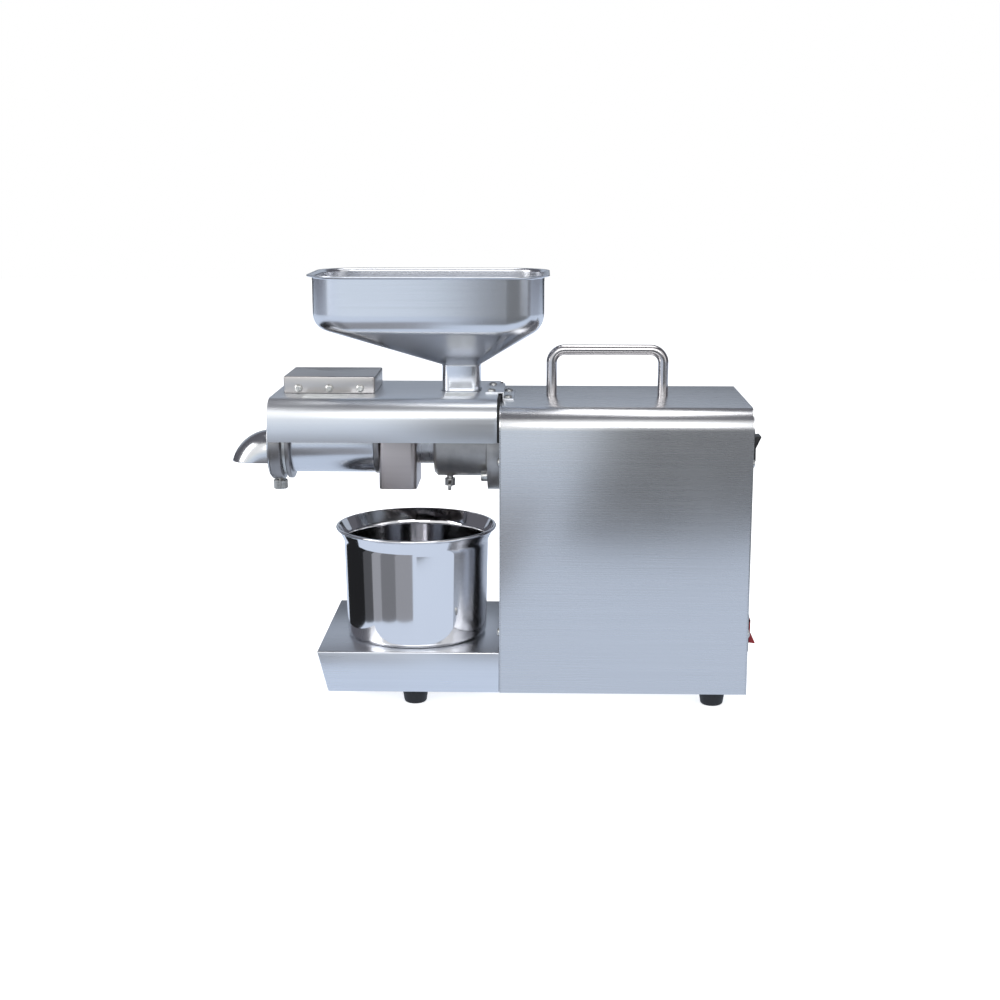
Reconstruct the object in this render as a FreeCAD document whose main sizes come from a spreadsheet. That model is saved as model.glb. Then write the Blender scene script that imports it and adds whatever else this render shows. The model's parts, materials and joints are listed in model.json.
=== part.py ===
import FreeCAD, Part

# A table-top screw oil press.
# Seeds fall from the hopper through the feed neck onto a screw that turns in a heated
# barrel. Oil drains from the slotted barrel through the outlet box into the cup on the
# tray, and the pressed cake leaves through the die into the spout at the far end.
# The gear train and the motor that turn the screw are in the cabinet.
#
# Frame: millimetres, +Z up, the floor at z = 0, the origin under the middle of the press.
# The barrel points to -X, the cabinet is at +X and the front of the press faces -Y.

import math
import os
import re

import Sketcher

Vector = FreeCAD.Vector

# The driving sizes in millimetres and degrees. Each becomes one cell of the sheet.
SIZES = {
    "cabinet": {
        "cabinet_length": 230,
        "cabinet_depth": 184,
        "cabinet_height": 267.5,
        "cabinet_edge_radius": 20,
        "cabinet_sheet": 1.2,
        "pan_sheet": 1.5,
        "pan_flange_height": 20,
        "return_flange_width": 11,
        "foot_height": 15,
        "foot_diameter": 25,
        "foot_taper": 1.5,
        "foot_rim_height": 2,
        "foot_edge_inset": 20,
        "foot_end_inset": 30,
        "foot_recess_diameter": 11,
        "foot_recess_depth": 5,
    },
    "small screws": {
        "screw_diameter": 4,
        "screw_head_diameter": 7.5,
        "screw_head_height": 2.2,
        "screw_length": 8,
        "screw_bite": 3,
        "screw_clearance": 0.1,
        "panel_screw_edge_inset": 7,
        "panel_screw_low": 57,
        "panel_screw_drop": 50,
        "pan_screw_inset": 13,
        "pan_screw_height": 10,
    },
    "handle": {
        "handle_rod_diameter": 10,
        "handle_span": 106,
        "handle_offset": 14.4,
        "handle_height": 49,
        "handle_bend_radius": 12,
    },
    "barrel": {
        "barrel_drop": 44.5,
        "tube_diameter": 43,
        "tube_bore": 34,
        "neck_diameter": 66,
        "neck_length": 51,
        "neck_chamfer": 3,
        "neck_root_radius": 2,
        "neck_flange_rim": 0.5,
        "neck_flange_thickness": 13,
        "neck_end_wall": 2,
        "neck_bolt_gap": 0.5,
        "neck_bolt_diameter": 6,
        "neck_bolt_head_diameter": 10,
        "neck_bolt_head_height": 6,
        "neck_bolt_grip": 6,
        "outlet_box_distance": 80,
        "outlet_box_length": 36,
        "outlet_box_width": 64,
        "outlet_box_height": 68,
        "outlet_box_drop": 41.5,
        "outlet_box_radius": 6,
        "outlet_box_sheet": 1.5,
        "drain_slot_width": 1.6,
        "drain_slot_count": 8,
        "drain_slot_margin": 3,
        "jacket_stop_width": 5,
        "jacket_stop_diameter": 62,
        "jacket_length": 79.5,
        "jacket_diameter": 60,
        "jacket_sheet": 1.5,
        "heater_diameter": 54,
        "end_ring_width": 4.5,
        "end_ring_diameter": 72,
        "spacer_width": 4,
        "spacer_diameter": 64,
        "collar_width": 11.5,
        "collar_diameter": 74,
        "die_length": 15,
        "die_gap": 1,
        "die_mouth_diameter": 22,
        "die_throat_diameter": 30,
    },
    "feed": {
        "feed_boss_width": 46,
        "feed_boss_height": 34.5,
        "feed_collar_height": 22,
        "feed_collar_gap": 0.4,
        "feed_wall": 3,
        "feed_window_radius": 3,
    },
    "spout": {
        "spout_bend_radius": 40,
        "spout_bend_drop": 29.5,
        "spout_turn": 80,
        "spout_mouth_drop": 19,
        "spout_width": 42,
        "spout_sheet": 1.5,
        "spout_corner_radius": 20,
        "spout_flange_inset": 2,
        "spout_lip_radius": 6.5,
        "spout_screw_diameter": 5,
        "spout_screw_head_diameter": 14,
        "spout_screw_head_height": 9,
        "spout_screw_neck_length": 1,
        "spout_screw_chamfer": 1,
    },
    "wing bolt": {
        "wing_bolt_distance": 50,
        "wing_bolt_diameter": 6,
        "wing_bolt_hub_diameter": 10,
        "wing_bolt_hub_height": 7,
        "wing_bolt_neck_length": 3,
        "wing_span": 26,
        "wing_rise": 6,
        "wing_thickness": 3,
        "wing_radius": 2,
        "wing_shoulder": 1,
    },
    "barrel cover": {
        "shroud_length": 210.5,
        "shroud_inset": 12,
        "shroud_skirt": 39,
        "shroud_headroom": 4.5,
        "shroud_radius": 19,
        "shroud_sheet": 1.2,
        "shroud_screw_height": 8,
        "shroud_screw_spacing": 13,
        "gasket_thickness": 2.5,
        "gasket_inset": 1,
        "neck_hole_gap": 1,
    },
    "terminal box": {
        "terminal_box_length": 86,
        "terminal_box_depth": 75,
        "terminal_box_height": 16,
        "terminal_box_end_inset": 9,
        "terminal_box_front_inset": 45,
        "terminal_box_radius": 3,
        "terminal_box_sheet": 1.2,
        "terminal_screw_height": 5,
        "terminal_screw_inset": 14,
    },
    "joint bracket": {
        "bracket_width": 66,
        "bracket_sheet": 1.5,
        "bracket_reach": 12,
        "bracket_screw_span": 46,
        "bracket_screw_inset": 5.5,
    },
    "hopper": {
        "hopper_length": 225,
        "hopper_depth": 146,
        "hopper_height": 127,
        "hopper_corner_radius": 40,
        "hopper_lip": 5,
        "hopper_lip_thickness": 1.5,
        "hopper_sheet": 1,
        "hopper_wall_depth": 48,
        "hopper_slope_depth": 38,
        "hopper_bend_rise": 8,
        "hopper_bend_share": 0.1,
        "hopper_overhang": 45.2,
        "throat_width": 36,
        "throat_distance": 38.2,
        "throat_radius": 8,
    },
    "tray and cup": {
        "tray_length": 170.5,
        "tray_height": 39,
        "tray_slant": 10,
        "tray_sheet": 1.2,
        "tray_flange_width": 34,
        "tray_foot_distance": 80,
        "cup_rim_diameter": 154,
        "cup_body_diameter": 138.5,
        "cup_base_diameter": 134.5,
        "cup_height": 106,
        "cup_rim_height": 14,
        "cup_sheet": 1.2,
        "cup_base_radius": 5,
        "cup_shoulder_radius": 12,
        "cup_bead_radius": 1,
        "cup_bead_width": 2.2,
        "cup_rim_bead": 3,
        "cup_gap": 0.1,
        "cup_distance": 82,
        "cup_forward": 17,
    },
    "gear train": {
        "stage_one_module": 1.0,
        "stage_two_module": 1.25,
        "stage_three_module": 1.5,
        "stage_one_wheel_teeth": 48,
        "stage_two_wheel_teeth": 48,
        "stage_three_wheel_teeth": 45,
        "pinion_teeth": 12,
        "pressure_angle": 25,
        "backlash": 0.14,
        "stage_one_width": 6,
        "stage_two_width": 8,
        "stage_three_width": 12,
        "stage_spacing": 3,
        "output_shaft_diameter": 20,
        "countershaft_diameter": 12,
        "output_bearing_diameter": 42,
        "output_bearing_width": 12,
        "small_bearing_diameter": 28,
        "small_bearing_width": 8,
        "bearing_boss_wall": 3,
        "running_gap": 0.06,
        "seat_gap": 0.04,
        "case_wall": 4,
        "case_end_wall": 6,
        "case_inner_width": 74,
        "case_flat": 1,
        "case_bolt_short": 2,
        "lid_shaft_gap": 2,
        "case_ear_diameter": 11,
        "case_ear_depth": 10,
        "case_bolt_diameter": 4,
        "drive_hex_width": 10,
        "drive_hex_length": 14,
        "drive_hex_gap": 0.1,
    },
    "press screw": {
        "flight_gap": 0.4,
        "flight_pitch": 24,
        "flight_width": 4,
        "flight_crest_width": 2.4,
        "flight_sink": 0.5,
        "screw_root_feed_diameter": 17,
        "screw_root_die_diameter": 26,
        "screw_nose_diameter": 15,
        "screw_nose_length": 14,
        "screw_thrust_width": 4,
        "screw_end_gap": 0.4,
    },
    "motor": {
        "motor_diameter": 100,
        "motor_length": 105,
        "motor_bell_length": 9,
        "motor_spigot_length": 4,
        "motor_spigot_diameter": 60,
        "motor_shell": 3,
        "stator_length": 75,
        "stator_bore": 56,
        "rotor_gap": 0.5,
        "motor_tail_length": 16,
        "fan_diameter": 90,
        "fan_width": 10,
        "fan_hub_diameter": 22,
        "fan_blade_root": 0.5,
        "fan_blade_thickness": 2,
        "fan_blade_count": 8,
        "cradle_length": 60,
        "cradle_width": 80,
        "cradle_plate": 3,
        "cradle_inset": 22,
        "capacitor_diameter": 35,
        "capacitor_length": 60,
        "capacitor_side_inset": 32,
        "capacitor_end_inset": 22,
        "capacitor_clip_width": 12,
        "capacitor_clip_plate": 1.5,
        "capacitor_clip_flat": 1,
    },
    "rear panel": {
        "switch_edge_inset": 24,
        "direction_switch_drop": 37,
        "power_switch_height": 56,
        "switch_window_height": 27.6,
        "switch_window_width": 18,
        "switch_wall": 2,
        "switch_bezel_width": 2,
        "switch_bezel_thickness": 2,
        "switch_bezel_radius": 2,
        "switch_body_depth": 24,
        "switch_cavity_depth": 14,
        "rocker_length": 24.8,
        "rocker_gap": 0.4,
        "rocker_tip_rise": 5.6,
        "rocker_middle_rise": 2.8,
        "rocker_root_depth": 6,
        "rocker_root_length": 16,
        "rocker_pivot_rise": 1,
        "rocker_pin_diameter": 3,
        "rocker_tilt": 12,
        "rocker_tip_radius": 0.8,
        "rocker_root_radius": 2,
        "inlet_edge_inset": 44,
        "inlet_height": 40,
        "inlet_flange_length": 50,
        "inlet_flange_height": 28,
        "inlet_flange_thickness": 3,
        "inlet_flange_radius": 4,
        "inlet_body_length": 30,
        "inlet_body_height": 22,
        "inlet_body_depth": 24,
        "inlet_socket_length": 24,
        "inlet_socket_height": 16,
        "inlet_socket_depth": 16,
        "inlet_pin_length": 13,
        "inlet_pin_width": 2,
        "inlet_pin_height": 5,
        "inlet_pin_spacing": 7,
        "panel_hole_gap": 0.3,
        "vent_slot_length": 50,
        "vent_slot_width": 4,
        "vent_slot_pitch": 9,
        "vent_slot_count": 7,
    },
}

# Places that follow from the sizes. They are written out in the expressions that use them.
PLACES = {
    # the chain of pieces along the barrel, measured from the cabinet's left face
    "box_far": "outlet_box_distance + outlet_box_length",
    "jacket_near": "box_far + jacket_stop_width",
    "jacket_far": "jacket_near + jacket_length",
    "end_ring_far": "jacket_far + end_ring_width",
    "collar_near": "end_ring_far + spacer_width",
    "collar_far": "collar_near + collar_width",
    "spout_mouth_rise": "spout_bend_drop - spout_mouth_drop",
    "spout_arc_reach": "sqrt(spout_bend_radius ^ 2 - spout_mouth_rise ^ 2)",
    "spout_reach": "collar_far + spout_sheet + spout_arc_reach",
    # the proud tip of the tilted direction rocker
    "tip_angle": "atan(rocker_length / 2 / rocker_tip_rise)",
    "tip_radius": "sqrt(rocker_length ^ 2 / 4 + rocker_tip_rise ^ 2)",
    "rocker_reach": "rocker_pivot_rise + tip_radius * cos(tip_angle - rocker_tilt * 1deg)",
    # the cabinet
    "left_face": "(spout_reach - cabinet_length - rocker_reach) / 2",
    "right_face": "left_face + cabinet_length",
    "top_face": "foot_height + cabinet_height",
    "half_depth": "cabinet_depth / 2",
    "inner_half_depth": "half_depth - cabinet_sheet",
    "pan_top": "foot_height + pan_sheet",
    # the barrel
    "barrel_z": "top_face - barrel_drop",
    "tube_radius": "tube_diameter / 2",
    "neck_end": "left_face - neck_flange_thickness - neck_length",
    "neck_bolt_radius": "neck_diameter / 2 + neck_root_radius + neck_bolt_gap + neck_bolt_head_diameter / 2",
    "neck_flange_radius": "neck_bolt_radius + neck_bolt_head_diameter / 2 + neck_flange_rim",
    "throat_x": "left_face - throat_distance",
    "boss_top": "barrel_z + feed_boss_height",
    "collar_x": "left_face - (collar_near + collar_far) / 2",
    "spout_axis_z": "barrel_z - spout_bend_drop",
    "wing_bolt_x": "left_face - wing_bolt_distance",
    # the cover over the barrel
    "shroud_half": "half_depth - shroud_inset",
    "shroud_top": "barrel_z + neck_flange_radius + shroud_headroom",
    "shroud_right": "left_face - gasket_thickness",
    "shroud_left": "shroud_right - shroud_length",
    # the hopper
    "hopper_rim_z": "boss_top + hopper_height",
    "hopper_bend_z": "hopper_rim_z - hopper_wall_depth",
    "throat_top_z": "hopper_bend_z - hopper_slope_depth",
    "hopper_right": "left_face + hopper_overhang",
    # the tray and the cup
    "tray_top": "foot_height + tray_height",
    "cup_x": "left_face - cup_distance",
    "cup_z": "tray_top + cup_gap",
    # the gear train
    "second_z": "barrel_z - stage_three_module * (stage_three_wheel_teeth + pinion_teeth) / 2",
    "first_z": "second_z - stage_two_module * (stage_two_wheel_teeth + pinion_teeth) / 2",
    "motor_z": "first_z - stage_one_module * (stage_one_wheel_teeth + pinion_teeth) / 2",
    "case_left": "left_face + cabinet_sheet",
    "boss_face": "case_left + output_bearing_width",
    "three_left": "boss_face + stage_spacing",
    "three_right": "three_left + stage_three_width",
    "two_left": "three_right + stage_spacing",
    "two_right": "two_left + stage_two_width",
    "one_left": "two_right + stage_spacing",
    "one_right": "one_left + stage_one_width",
    "lid_left": "one_right + stage_spacing + small_bearing_width - case_end_wall",
    "lid_right": "lid_left + case_end_wall",
    "case_radius": "case_inner_width / 2 + case_wall",
    # the motor
    "motor_left": "lid_right + motor_spigot_length",
    "motor_right": "motor_left + motor_length",
    "motor_radius": "motor_diameter / 2",
    "capacitor_x": "case_left + capacitor_end_inset",
    "capacitor_y": "half_depth - capacitor_side_inset",
    "fan_left": "motor_right + motor_tail_length - fan_width - 2 * cabinet_sheet",
    # the rear panel
    "direction_z": "top_face - direction_switch_drop",
    "power_z": "foot_height + power_switch_height",
    "inlet_z": "foot_height + inlet_height",
    "inlet_side": "half_depth - inlet_edge_inset",
    "switch_side": "half_depth - switch_edge_inset",
}

VALUES = {name: size for group in SIZES.values() for name, size in group.items()}
WORD = re.compile(r"[a-z][a-z0-9_]*")

doc = FreeCAD.newDocument("screw_oil_press")
sheet = doc.addObject("Spreadsheet::Sheet", "Sizes")
row = 1
for group, sizes in SIZES.items():
    sheet.set(f"A{row}", group)
    for name, size in sizes.items():
        row += 1
        sheet.set(f"A{row}", name)
        sheet.set(f"B{row}", str(size))
        sheet.setAlias(f"B{row}", name)
    row += 2
doc.recompute()


def bound(text):
    """An expression of plain size and place names, as the sheet's cells."""

    def cell(match):
        name = match[0]
        if name in PLACES:
            return "(" + bound(PLACES[name]) + ")"
        if name in VALUES:
            return "Sizes." + name
        return name

    return WORD.sub(cell, str(text))


measured = {}


def value(text):
    """The number that an expression of sizes and places gives now."""
    text = str(text)
    if text not in measured:
        result = sheet.evalExpression(bound(text))
        measured[text] = float(getattr(result, "Value", result))
    return measured[text]


def bind(item, **expressions):
    """Tie properties to the sheet; a double underscore stands for a dot."""
    for path, text in expressions.items():
        item.setExpression(path.replace("__", "."), bound(text))
    return item


def negative(text):
    return f"-({text})"


# --- sketches and features -------------------------------------------------------------

ORIGIN_PLANES = {"x": "YZ_Plane", "y": "XZ_Plane", "z": "XY_Plane"}
nodes = []


def new_body(label):
    body = doc.addObject("PartDesign::Body", label)
    body.Label = label
    nodes.append(body)
    return body


def new_sketch(body, normal, place, shift=("0", "0")):
    """A sketch square to an axis, at a place along it, with its own origin shifted."""
    sketch = body.newObject("Sketcher::SketchObject", body.Label + "_sketch")
    role = ORIGIN_PLANES[normal]
    plane = next(item for item in body.Origin.OriginFeatures if item.Role == role)
    sketch.AttachmentSupport = [(plane, "")]
    sketch.MapMode = "FlatFace"
    # the XZ plane looks to -Y, so a place along +Y is a negative offset there
    height = negative(place) if normal == "y" else place
    bind(sketch, AttachmentOffset__Base__x=shift[0], AttachmentOffset__Base__y=shift[1])
    bind(sketch, AttachmentOffset__Base__z=height)
    return sketch


def draw_circle(sketch, x, y, radius):
    centre = Vector(value(x), value(y), 0)
    circle = Part.Circle(centre, Vector(0, 0, 1), value(radius))
    index = sketch.addGeometry(circle, False)
    for kind, text in (("DistanceX", x), ("DistanceY", y)):
        place = sketch.addConstraint(
            Sketcher.Constraint(kind, -1, 1, index, 3, value(text))
        )
        sketch.setExpression(f"Constraints[{place}]", bound(text))
    size = sketch.addConstraint(Sketcher.Constraint("Radius", index, value(radius)))
    sketch.setExpression(f"Constraints[{size}]", bound(radius))


def corner_arc(before, corner, after, radius):
    """The arc that rounds a corner, and whether it runs against the outline."""
    toward = (before - corner).normalize()
    away = (after - corner).normalize()
    half_angle = toward.getAngle(away) / 2
    trim = radius / math.tan(half_angle)
    middle = (toward + away).normalize()
    centre = corner + middle * (radius / math.sin(half_angle))
    first = corner + toward * trim
    last = corner + away * trim
    turns_left = toward.cross(away).z < 0
    start, end = (first, last) if turns_left else (last, first)
    angles = [math.atan2(p.y - centre.y, p.x - centre.x) for p in (start, end)]
    if angles[1] < angles[0]:
        angles[1] += 2 * math.pi
    circle = Part.Circle(centre, Vector(0, 0, 1), radius)
    return first, last, Part.ArcOfCircle(circle, *angles), turns_left


def draw_outline(sketch, corners, closed=True):
    """Straight sides through the corners; a third entry in a corner rounds it."""
    count = len(corners)
    points = [Vector(value(corner[0]), value(corner[1]), 0) for corner in corners]
    arcs = {}
    for i, corner in enumerate(corners):
        if len(corner) == 3 and value(corner[2]) > 0:
            arcs[i] = corner_arc(
                points[i - 1], points[i], points[(i + 1) % count], value(corner[2])
            )
    sides = count if closed else count - 1
    lines = []
    for i in range(sides):
        j = (i + 1) % count
        start = arcs[i][1] if i in arcs else points[i]
        end = arcs[j][0] if j in arcs else points[j]
        lines.append(sketch.addGeometry(Part.LineSegment(start, end), False))

    def pin(index, end, corner):
        for kind, text in (("DistanceX", corner[0]), ("DistanceY", corner[1])):
            number = sketch.addConstraint(
                Sketcher.Constraint(kind, -1, 1, index, end, value(text))
            )
            sketch.setExpression(f"Constraints[{number}]", bound(text))

    for i, corner in enumerate(corners):
        before = lines[i - 1] if closed or i > 0 else None
        after = lines[i] if i < sides else None
        if i not in arcs:
            if before is not None and after is not None:
                sketch.addConstraint(Sketcher.Constraint("Coincident", before, 2, after, 1))
            if after is not None:
                pin(after, 1, corner)
            else:
                pin(before, 2, corner)
            continue
        arc = sketch.addGeometry(arcs[i][2], False)
        head, tail = (1, 2) if arcs[i][3] else (2, 1)
        sketch.addConstraint(Sketcher.Constraint("Tangent", before, 2, arc, head))
        sketch.addConstraint(Sketcher.Constraint("Tangent", after, 1, arc, tail))
        apex = sketch.addGeometry(Part.Point(points[i]), True)
        sketch.addConstraint(Sketcher.Constraint("PointOnObject", apex, 1, before))
        sketch.addConstraint(Sketcher.Constraint("PointOnObject", apex, 1, after))
        pin(apex, 1, corner)
        size = sketch.addConstraint(
            Sketcher.Constraint("Radius", arc, value(corner[2]))
        )
        sketch.setExpression(f"Constraints[{size}]", bound(corner[2]))


def finish_feature(body, feature, adds):
    """Recompute, and make sure that the feature added or removed material."""
    doc.recompute()
    before = feature.BaseFeature.Shape.Volume if feature.BaseFeature else 0
    grown = feature.Shape.Volume - before
    if (grown > 0) != adds or abs(grown) < 1e-6:
        raise RuntimeError(f"{body.Label}: {feature.Name} changes nothing")
    return feature


def extrude(body, normal, start, end, outlines=(), circles=(), cut=False, shift=("0", "0")):
    """Pad or pocket outlines and circles between two places along an axis."""
    sketch = new_sketch(body, normal, start, shift)
    for outline in outlines:
        draw_outline(sketch, outline)
    for circle in circles:
        draw_circle(sketch, *circle)
    kind = "PartDesign::Pocket" if cut else "PartDesign::Pad"
    feature = body.newObject(kind, body.Label + ("_pocket" if cut else "_pad"))
    feature.Profile = sketch
    # a pad grows along its plane's normal and a pocket against it
    feature.Reversed = (normal == "y") != cut
    bind(feature, Length=f"({end}) - ({start})")
    return finish_feature(body, feature, not cut)


def turn(body, axis, centre, outlines, cut=False):
    """Revolve outlines of (along, radius) about X, or (radius, along) about Z."""
    if axis == "x":
        y, z = centre
        sketch = new_sketch(body, "y", y, ("0", z))
    else:
        x, y = centre
        sketch = new_sketch(body, "y", y, (x, "0"))
    for outline in outlines:
        draw_outline(sketch, outline)
    kind = "PartDesign::Groove" if cut else "PartDesign::Revolution"
    feature = body.newObject(kind, body.Label + ("_groove" if cut else "_turn"))
    feature.Profile = sketch
    feature.ReferenceAxis = (sketch, ["H_Axis" if axis == "x" else "V_Axis"])
    feature.Angle = 360
    return finish_feature(body, feature, not cut)


def loft(body, low, low_outline, high, high_outline, cut=False):
    """Blend between two level outlines that have the same number of corners."""
    first = new_sketch(body, "z", low)
    draw_outline(first, low_outline)
    second = new_sketch(body, "z", high)
    draw_outline(second, high_outline)
    kind = "PartDesign::SubtractiveLoft" if cut else "PartDesign::AdditiveLoft"
    feature = body.newObject(kind, body.Label + "_loft")
    feature.Profile = first
    feature.Sections = [second]
    feature.Ruled = True
    return finish_feature(body, feature, not cut)


def rectangle(low_x, low_y, high_x, high_y, radius=None):
    corners = [(low_x, low_y), (high_x, low_y), (high_x, high_y), (low_x, high_y)]
    if radius is None:
        return corners
    return [corner + (radius,) for corner in corners]


def centred(x, y, width, height, radius=None):
    """A rectangle about a centre."""
    return rectangle(
        f"{x} - ({width}) / 2",
        f"{y} - ({height}) / 2",
        f"{x} + ({width}) / 2",
        f"{y} + ({height}) / 2",
        radius,
    )


def arch(half_width, bottom, top, radius, inset="0"):
    """The closed outline of a panel with rounded top corners, inset on three sides."""
    side = f"({half_width} - ({inset}))"
    crown = f"({top} - ({inset}))"
    bend = f"({radius} - ({inset}))"
    return [
        (negative(side), bottom),
        (side, bottom),
        (side, crown, bend),
        (negative(side), crown, bend),
    ]


def arch_band(half_width, bottom, top, radius, outer, inner):
    """The outline of a bent strip between two insets of an arch, open below."""
    outline = []
    for inset, order in ((outer, 1), (inner, -1)):
        side = f"({half_width} - ({inset}))"
        crown = f"({top} - ({inset}))"
        # the inner bend keeps a small radius where the strip is wider than the bend
        bend = f"max({radius} - ({inset}); 1)"
        leg = [
            (negative(side), bottom),
            (negative(side), crown, bend),
            (side, crown, bend),
            (side, bottom),
        ]
        outline += leg[::order]
    return outline


# --- primitives ------------------------------------------------------------------------

AXIS_TURN = {
    "+x": FreeCAD.Rotation(Vector(0, 1, 0), 90),
    "-x": FreeCAD.Rotation(Vector(0, 1, 0), -90),
    "+y": FreeCAD.Rotation(Vector(1, 0, 0), -90),
    "-y": FreeCAD.Rotation(Vector(1, 0, 0), 90),
    "+z": FreeCAD.Rotation(),
    "-z": FreeCAD.Rotation(Vector(1, 0, 0), 180),
}
AXIS_STEP = {"x": (1, 0, 0), "y": (0, 1, 0), "z": (0, 0, 1)}


def cylinder(name, direction, place, start, length, radius):
    """A cylinder along a direction, from a distance past a place."""
    item = doc.addObject("Part::Cylinder", name)
    item.Placement.Rotation = AXIS_TURN[direction]
    sign = 1 if direction[0] == "+" else -1
    step = AXIS_STEP[direction[1]]
    base = [f"{p} + {sign * s} * ({start})" if s else p for p, s in zip(place, step)]
    bind(item, Placement__Base__x=base[0], Placement__Base__y=base[1])
    bind(item, Placement__Base__z=base[2], Height=length, Radius=radius)
    return item


def compound(label, items):
    """Several separate solids that make one sub-part."""
    node = doc.addObject("Part::Compound", label)
    node.Label = label
    node.Links = items
    nodes.append(node)
    return node


def fuse(name, base, tool):
    item = doc.addObject("Part::Fuse", name)
    item.Base = base
    item.Tool = tool
    return item


def cut(name, base, tool):
    item = doc.addObject("Part::Cut", name)
    item.Base = base
    item.Tool = tool
    return item


def headed_screws(label, direction, places, grip, size=None):
    """Screws with their heads on a face and their shanks along a direction."""
    diameter, head_diameter, head_height = size or (
        "screw_diameter",
        "screw_head_diameter",
        "screw_head_height",
    )
    items = []
    for number, place in enumerate(places):
        way = direction[number] if isinstance(direction, list) else direction
        name = f"{label}_{number}"
        shank = cylinder(name + "_shank", way, place, "0", grip, f"{diameter} / 2")
        back = ("-" if way[0] == "+" else "+") + way[1]
        head = cylinder(name + "_head", back, place, "0", head_height, f"{head_diameter} / 2")
        items.append(fuse(name, head, shank))
    return items


def ring(name, place, length, outer_radius, inner_radius):
    """A plain ring along +X."""
    blank = cylinder(name + "_blank", "+x", place, "0", length, outer_radius)
    bore = cylinder(name + "_bore", "+x", place, "-1", f"{length} + 2", inner_radius)
    return cut(name, blank, bore)


def shaped(label, shape):
    """A sub-part whose shape is made with Part's own functions."""
    node = doc.addObject("Part::Feature", label)
    node.Label = label
    node.Shape = shape
    nodes.append(node)
    return node


# --- the cabinet -----------------------------------------------------------------------

FOOT_PLACES = {
    "tray_front": ("left_face - tray_foot_distance", "-(half_depth - foot_edge_inset)"),
    "tray_rear": ("left_face - tray_foot_distance", "half_depth - foot_edge_inset"),
    "cabinet_front": ("right_face - foot_end_inset", "-(half_depth - foot_edge_inset)"),
    "cabinet_rear": ("right_face - foot_end_inset", "half_depth - foot_edge_inset"),
}
SHANK_HOLE = "screw_diameter / 2 + screw_clearance"
PANEL_SCREW_SIDE = "half_depth - panel_screw_edge_inset"
PANEL_SCREW_HEIGHTS = ("foot_height + panel_screw_low", "top_face - panel_screw_drop")


def panel_screw_places(x):
    """Where the screws of an end panel are, as (x, y, z)."""
    sides = (negative(PANEL_SCREW_SIDE), PANEL_SCREW_SIDE)
    return [(x, side, height) for side in sides for height in PANEL_SCREW_HEIGHTS]


def pan_screw_places():
    """Where the screws through the cover's rear foot are, as (x, y, z)."""
    ends = ("left_face + pan_screw_inset", "right_face - pan_screw_inset")
    return [(x, "half_depth", "foot_height + pan_screw_height") for x in ends]


def make_base_pan():
    """The folded floor pan: a floor with a flange up inside the cover, front and rear."""
    body = new_body("base_pan")
    outline = [
        ("-inner_half_depth", "foot_height"),
        ("inner_half_depth", "foot_height"),
        ("inner_half_depth", "foot_height + pan_flange_height"),
        ("inner_half_depth - pan_sheet", "foot_height + pan_flange_height"),
        ("inner_half_depth - pan_sheet", "pan_top"),
        ("-inner_half_depth + pan_sheet", "pan_top"),
        ("-inner_half_depth + pan_sheet", "foot_height + pan_flange_height"),
        ("-inner_half_depth", "foot_height + pan_flange_height"),
    ]
    left = "left_face + cabinet_sheet"
    right = "right_face - cabinet_sheet"
    extrude(body, "x", left, right, [outline])
    feet = [FOOT_PLACES["cabinet_front"], FOOT_PLACES["cabinet_rear"]]
    holes = [(x, y, SHANK_HOLE) for x, y in feet]
    extrude(body, "z", "foot_height", "pan_top", circles=holes, cut=True)
    holes = [(x, z, SHANK_HOLE) for x, _, z in pan_screw_places()]
    extrude(body, "y", "0", "half_depth", circles=holes, cut=True)


def make_wrap_cover():
    """One bent sheet makes the front, the top and the back, with a flange at each end."""
    body = new_body("wrap_cover")
    shape = ("half_depth", "foot_height", "top_face", "cabinet_edge_radius")
    left = "left_face + cabinet_sheet"
    right = "right_face - cabinet_sheet"
    extrude(body, "x", left, right, [arch_band(*shape, "0", "cabinet_sheet")])
    # the flanges start above the pan's own flanges
    above_pan = "foot_height + pan_flange_height + cabinet_sheet"
    shape = ("half_depth", above_pan, "top_face", "cabinet_edge_radius")
    for start in (left, f"{right} - cabinet_sheet"):
        band = arch_band(*shape, "cabinet_sheet / 2", "return_flange_width + cabinet_sheet")
        extrude(body, "x", start, f"{start} + cabinet_sheet", [band])
    holes = [(y, z, SHANK_HOLE) for _, y, z in panel_screw_places(left)]
    for start in (left, f"{right} - cabinet_sheet"):
        extrude(body, "x", start, f"{start} + cabinet_sheet", circles=holes, cut=True)
    # the front flange is notched for the gear case and drilled for the barrel cover's screws
    side = "case_radius + panel_hole_gap"
    notch = rectangle(negative(side), "barrel_z", side, "top_face - cabinet_sheet")
    holes = [(y, z, SHANK_HOLE) for _, y, z in shroud_screw_places()]
    extrude(body, "x", left, f"{left} + cabinet_sheet", [notch], holes, cut=True)
    holes = [(x, z, SHANK_HOLE) for x, _, z in pan_screw_places()]
    extrude(body, "y", "0", "half_depth", circles=holes, cut=True)
    holes = [(x, "0", SHANK_HOLE) for x in HANDLE_LEGS]
    holes += [(x, y, SHANK_HOLE) for x, y, z in bracket_screw_places()[2:]]
    extrude(body, "z", "top_face - cabinet_sheet", "top_face", circles=holes, cut=True)


def end_panel_outline():
    return arch("half_depth", "foot_height", "top_face", "cabinet_edge_radius")


NECK_BOLT_STEP = "neck_bolt_radius * sqrt(0.5)"


def neck_bolt_places(x):
    steps = (NECK_BOLT_STEP, negative(NECK_BOLT_STEP))
    return [(x, y, f"barrel_z + {z}") for y in steps for z in steps]


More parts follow.
